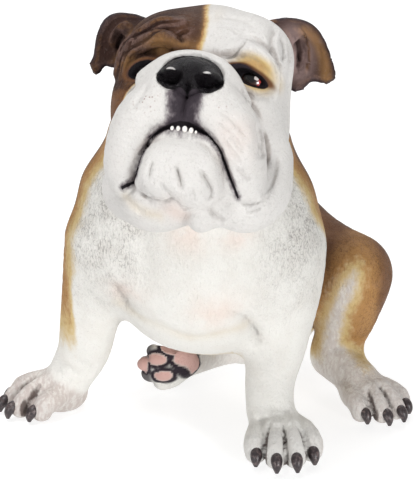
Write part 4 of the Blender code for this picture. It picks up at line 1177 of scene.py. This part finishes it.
    # the dark trims: lids, ear rims, the tucked paw's sole, the smoky muzzle, and black over all
    colour = kit.mix(kit.ramp(kit.layer("lidShade"), 0.05, 0.6), colour, paint["coatBrown"])
    colour = kit.mix(kit.ramp(kit.layer("lidShade"), 0.5, 1.0), colour, paint["smoke"])
    colour = kit.mix(kit.times(kit.layer("earRim"), 0.9), colour, paint["smoke"])
    colour = kit.mix(kit.layer("padRim"), colour, paint["smoke"])
    colour = kit.mix(kit.layer("pads"), colour, paint["pad"])
    stippled = kit.plus(kit.layer("smoke"), kit.times(kit.math("SUBTRACT", ragged, 0.5), 1.2))
    smoky = kit.times(kit.ramp(stippled, 0.0, 0.75), kit.ramp(kit.layer("smoke"), 0.02, 0.3))
    colour = kit.mix(kit.times(smoky, 0.9, clamp=True), colour, paint["smokeThin"])
    colour = kit.mix(kit.times(kit.ramp(stippled, 0.45, 1.05), 0.9), colour, paint["smoke"])
    wavering = kit.ramp(ragged, 0.3, 0.7, -0.03, 0.03, smooth=False)
    colour = kit.mix(kit.ramp(kit.plus(kit.layer("black"), wavering), -0.04, 0.05), colour, paint["black"])
    kit.link(colour, kit.shader.inputs["Base Color"])

    rough = kit.ramp(cloud, 0.3, 0.7, *finish["rough"])
    rough = kit.math("SUBTRACT", rough, kit.times(gloss, finish["noseSmoother"]))
    kit.link(rough, kit.shader.inputs["Roughness"])
    specular = kit.plus(kit.times(gloss, finish["noseSpecular"]), finish["specular"])
    kit.link(specular, kit.shader.inputs["Specular IOR Level"])

    fine = kit.noise(finish["fine"], 3.0, 0.6, stretch=(1.0, 1.0, 0.5), turn=(0.2, 0.4, 0))
    combed = kit.plus(fine, kit.times(kit.plus(hairs, crossHairs), 0.3))
    hairHeight = kit.times(combed, kit.plus(kit.times(fur, 0.9), 0.3))
    rounded = kit.bump(hairHeight, 1.0, finish["hairDepth"])
    pitted = kit.bump(kit.times(stain, kit.plus(gloss, 1.0)), 1.0, finish["stainDepth"], below=rounded)
    stippledNose = kit.bump(kit.times(speckle, gloss), 1.0, finish["noseDepth"], below=pitted)
    kit.link(stippledNose, kit.shader.inputs["Normal"])
    return material


def dressed(name, mesh, material):
    mesh.materials.clear()
    mesh.materials.append(material)
    mesh.shade_smooth()
    piece = bpy.data.objects.new(name, mesh)
    bpy.context.scene.collection.objects.link(piece)
    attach(piece, "root")
    return piece


skinMesh = sculptSkin()
paintSkin(skinMesh)
skin = dressed("dogSkin", skinMesh, paintedResin())
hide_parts("bulldog")
print("skin painted")

# Eyes: glass-smooth paint over a ball set in each socket
eyes = {
    "leftCentre": (5.75, 1.25, 0.3),    # in the head's frame
    "rightCentre": (-5.6, 1.25, -0.35),
    "radius": 1.82,
    "segments": (48, 32),
    "gaze": (-0.05, -1.0, 0.12),
    "paintedCatchLight": (0.34, 0.04),             # a painted white highlight on the eye, beside its red corner
    "paintedCatchLightSize": 0.17,
    "pupil": 0.40,                     # sine of the angle from the gaze
    "iris": 0.82,
    "brown": (0.040, 0.014, 0.008, 1),
    "dark": (0.004, 0.003, 0.003, 1),
    "red": (0.42, 0.022, 0.016, 1),
    "white": (0.72, 0.66, 0.63, 1),
    "streaks": 900,
    "rough": 0.2,
    "coat": 0.35,
    "coatRough": 0.03,
}


def eyeMaterial():
    material = newMaterial("glossy_eye")
    kit = nodeKit(material)
    away = kit.layer("away")
    corner = kit.layer("corner")
    streaks = kit.noise(eyes["streaks"], 2.0)
    colour = kit.mix(kit.ramp(away, eyes["pupil"] - 0.06, eyes["pupil"] + 0.10), eyes["dark"], eyes["brown"])
    colour = kit.mix(kit.ramp(away, eyes["iris"] - 0.10, eyes["iris"]), colour, eyes["dark"])
    reddened = kit.times(kit.ramp(corner, 0.42, 0.54), kit.ramp(streaks, 0.3, 0.6, 0.6, 1.0))
    colour = kit.mix(reddened, colour, eyes["red"])
    # a painted white highlight beside the red corner
    colour = kit.mix(kit.ramp(kit.layer("paintedCatchLight"), 0.45, 0.6), colour, eyes["white"])
    kit.link(colour, kit.shader.inputs["Base Color"])
    kit.shader.inputs["Roughness"].default_value = eyes["rough"]
    kit.shader.inputs["Coat Weight"].default_value = eyes["coat"]
    kit.shader.inputs["Coat Roughness"].default_value = eyes["coatRough"]
    return material


def makeEyes(material):
    for name, centre, side in (("leftEye", eyes["leftCentre"], 1), ("rightEye", eyes["rightCentre"], -1)):
        bm = bmesh.new()
        around, upDown = eyes["segments"]
        bmesh.ops.create_uvsphere(bm, u_segments=around, v_segments=upDown, radius=eyes["radius"])
        mesh = meshFrom(name, bm)
        local = pointsOf(mesh)
        gaze = np.array(eyes["gaze"]) / np.linalg.norm(eyes["gaze"])
        unit = local / eyes["radius"]
        away = np.sqrt(np.clip(1 - np.clip(unit @ gaze, -1, 1) ** 2, 0, 1)) + 2.0 * (unit @ gaze < 0)
        corner = unit[:, 0] * side - 0.25 * unit[:, 2]
        paintedCatchLightSpot = (eyes["paintedCatchLight"][0] * side, eyes["paintedCatchLight"][1])
        paintedCatchLight = near(unit[:, [0, 2]], paintedCatchLightSpot, eyes["paintedCatchLightSize"]) * (unit[:, 1] < 0)
        putPoints(mesh, toStatue(fromLocal(local + np.array(centre), headSpot)))
        storeLayers(mesh, {"away": away, "corner": corner, "paintedCatchLight": paintedCatchLight})
        dressed(name, mesh, material)


makeEyes(eyeMaterial())
print("eyes set")

# Claws: short blunt hooks at the toe tips
claws = {
    "rings": 9,
    "sides": 14,
    "radii": (0.40, 0.66, 0.56, 0.20),
    # how far out of the toe's line, past its tip and above it each step of a claw is
    "curve": ((1.0, -0.3, 0.7), (1.02, -1.1, 0.35), (1.04, -1.6, -0.25)),
    "point": (1.05, -1.75, 0.42),    # its height is over the floor
    "wear": 240,
    "rough": 0.38,
    "dark": (0.030, 0.022, 0.024, 1),
    "worn": (0.17, 0.125, 0.12, 1),
}


def taperedHook(points, radii):    # rings swept along a smooth line, closed to a point at both ends
    line = smoothLine(np.column_stack([points, radii]), claws["rings"])
    bm = bmesh.new()
    ring = None
    for i, (x, y, z, r) in enumerate(line):
        ahead = Vector(line[min(i + 1, len(line) - 1)][:3]) - Vector(line[max(i - 1, 0)][:3])
        turn = ahead.to_track_quat("Z", "Y").to_matrix().to_4x4()
        spot = Matrix.Translation((x, y, z)) @ turn
        made = bmesh.ops.create_circle(bm, cap_ends=False, segments=claws["sides"], radius=r, matrix=spot)
        loop = list({edge for vert in made["verts"] for edge in vert.link_edges})
        if ring:
            bmesh.ops.bridge_loops(bm, edges=ring + loop)
        else:
            bmesh.ops.contextual_create(bm, geom=loop)
        ring = loop
    bmesh.ops.contextual_create(bm, geom=ring)
    bmesh.ops.recalc_face_normals(bm, faces=bm.faces[:])
    return bm


def clawMaterial():
    material = newMaterial("painted_claw")
    kit = nodeKit(material)
    worn = kit.noise(claws["wear"], 4.0, 0.65)
    colour = kit.mix(kit.ramp(worn, 0.45, 0.72, 0, 0.8), claws["dark"], claws["worn"])
    kit.link(colour, kit.shader.inputs["Base Color"])
    kit.shader.inputs["Roughness"].default_value = claws["rough"]
    kit.link(kit.bump(worn, 0.3, 0.0008), kit.shader.inputs["Normal"])
    return material


def makeClaws(material):
    for name in standingPaws:
        paw = paws[name]
        for i, (side, tipY, tipZ, _) in enumerate(toes):
            curve = [(side * out, tipY + past, tipZ + above) for out, past, above in claws["curve"]]
            out, past, height = claws["point"]
            curve.append((side * out, tipY + past, height))
            curve = [tuple(paw["size"] * v for v in spot) for spot in curve]
            mesh = meshFrom("claw", taperedHook(curve, [r * paw["size"] for r in claws["radii"]]))
            putPoints(mesh, toStatue(fromLocal(pointsOf(mesh), paw["spot"])))
            dressed("claw_%s_%d" % (name, i + 1), mesh, material)


makeClaws(clawMaterial())
print("claws set")

# Teeth: a row of five beads in the front of the mouth
teeth = {
    "row": [(-0.62, -6.1, -7.12, 0.19), (0.04, -6.25, -7.1, 0.21), (0.72, -6.25, -7.08, 0.27),
            (1.38, -6.15, -7.12, 0.24), (1.86, -6.0, -7.2, 0.13)],
    "tall": 1.25,          # each bead's height over its width
    "segments": (16, 12),
    "ivory": (0.80, 0.78, 0.74, 1),
    "stained": (0.5, 0.46, 0.42, 1),
    "stain": 500,
    "rough": 0.3,
}


def makeTeeth():
    material = newMaterial("painted_tooth")
    kit = nodeKit(material)
    stain = kit.noise(teeth["stain"], 3.0)
    colour = kit.mix(kit.ramp(stain, 0.45, 0.8, 0, 0.5), teeth["ivory"], teeth["stained"])
    kit.link(colour, kit.shader.inputs["Base Color"])
    kit.shader.inputs["Roughness"].default_value = teeth["rough"]
    bm = bmesh.new()
    for x, y, z, r in teeth["row"]:
        spot = Matrix.Translation((x, y, z)) @ Matrix.Diagonal((r, r, r * teeth["tall"], 1))
        around, upDown = teeth["segments"]
        bmesh.ops.create_uvsphere(bm, u_segments=around, v_segments=upDown, radius=1, matrix=spot)
    mesh = meshFrom("teeth", bm)
    putPoints(mesh, toStatue(fromLocal(pointsOf(mesh), headSpot)))
    dressed("teeth", mesh, material)


makeTeeth()
print("teeth set")
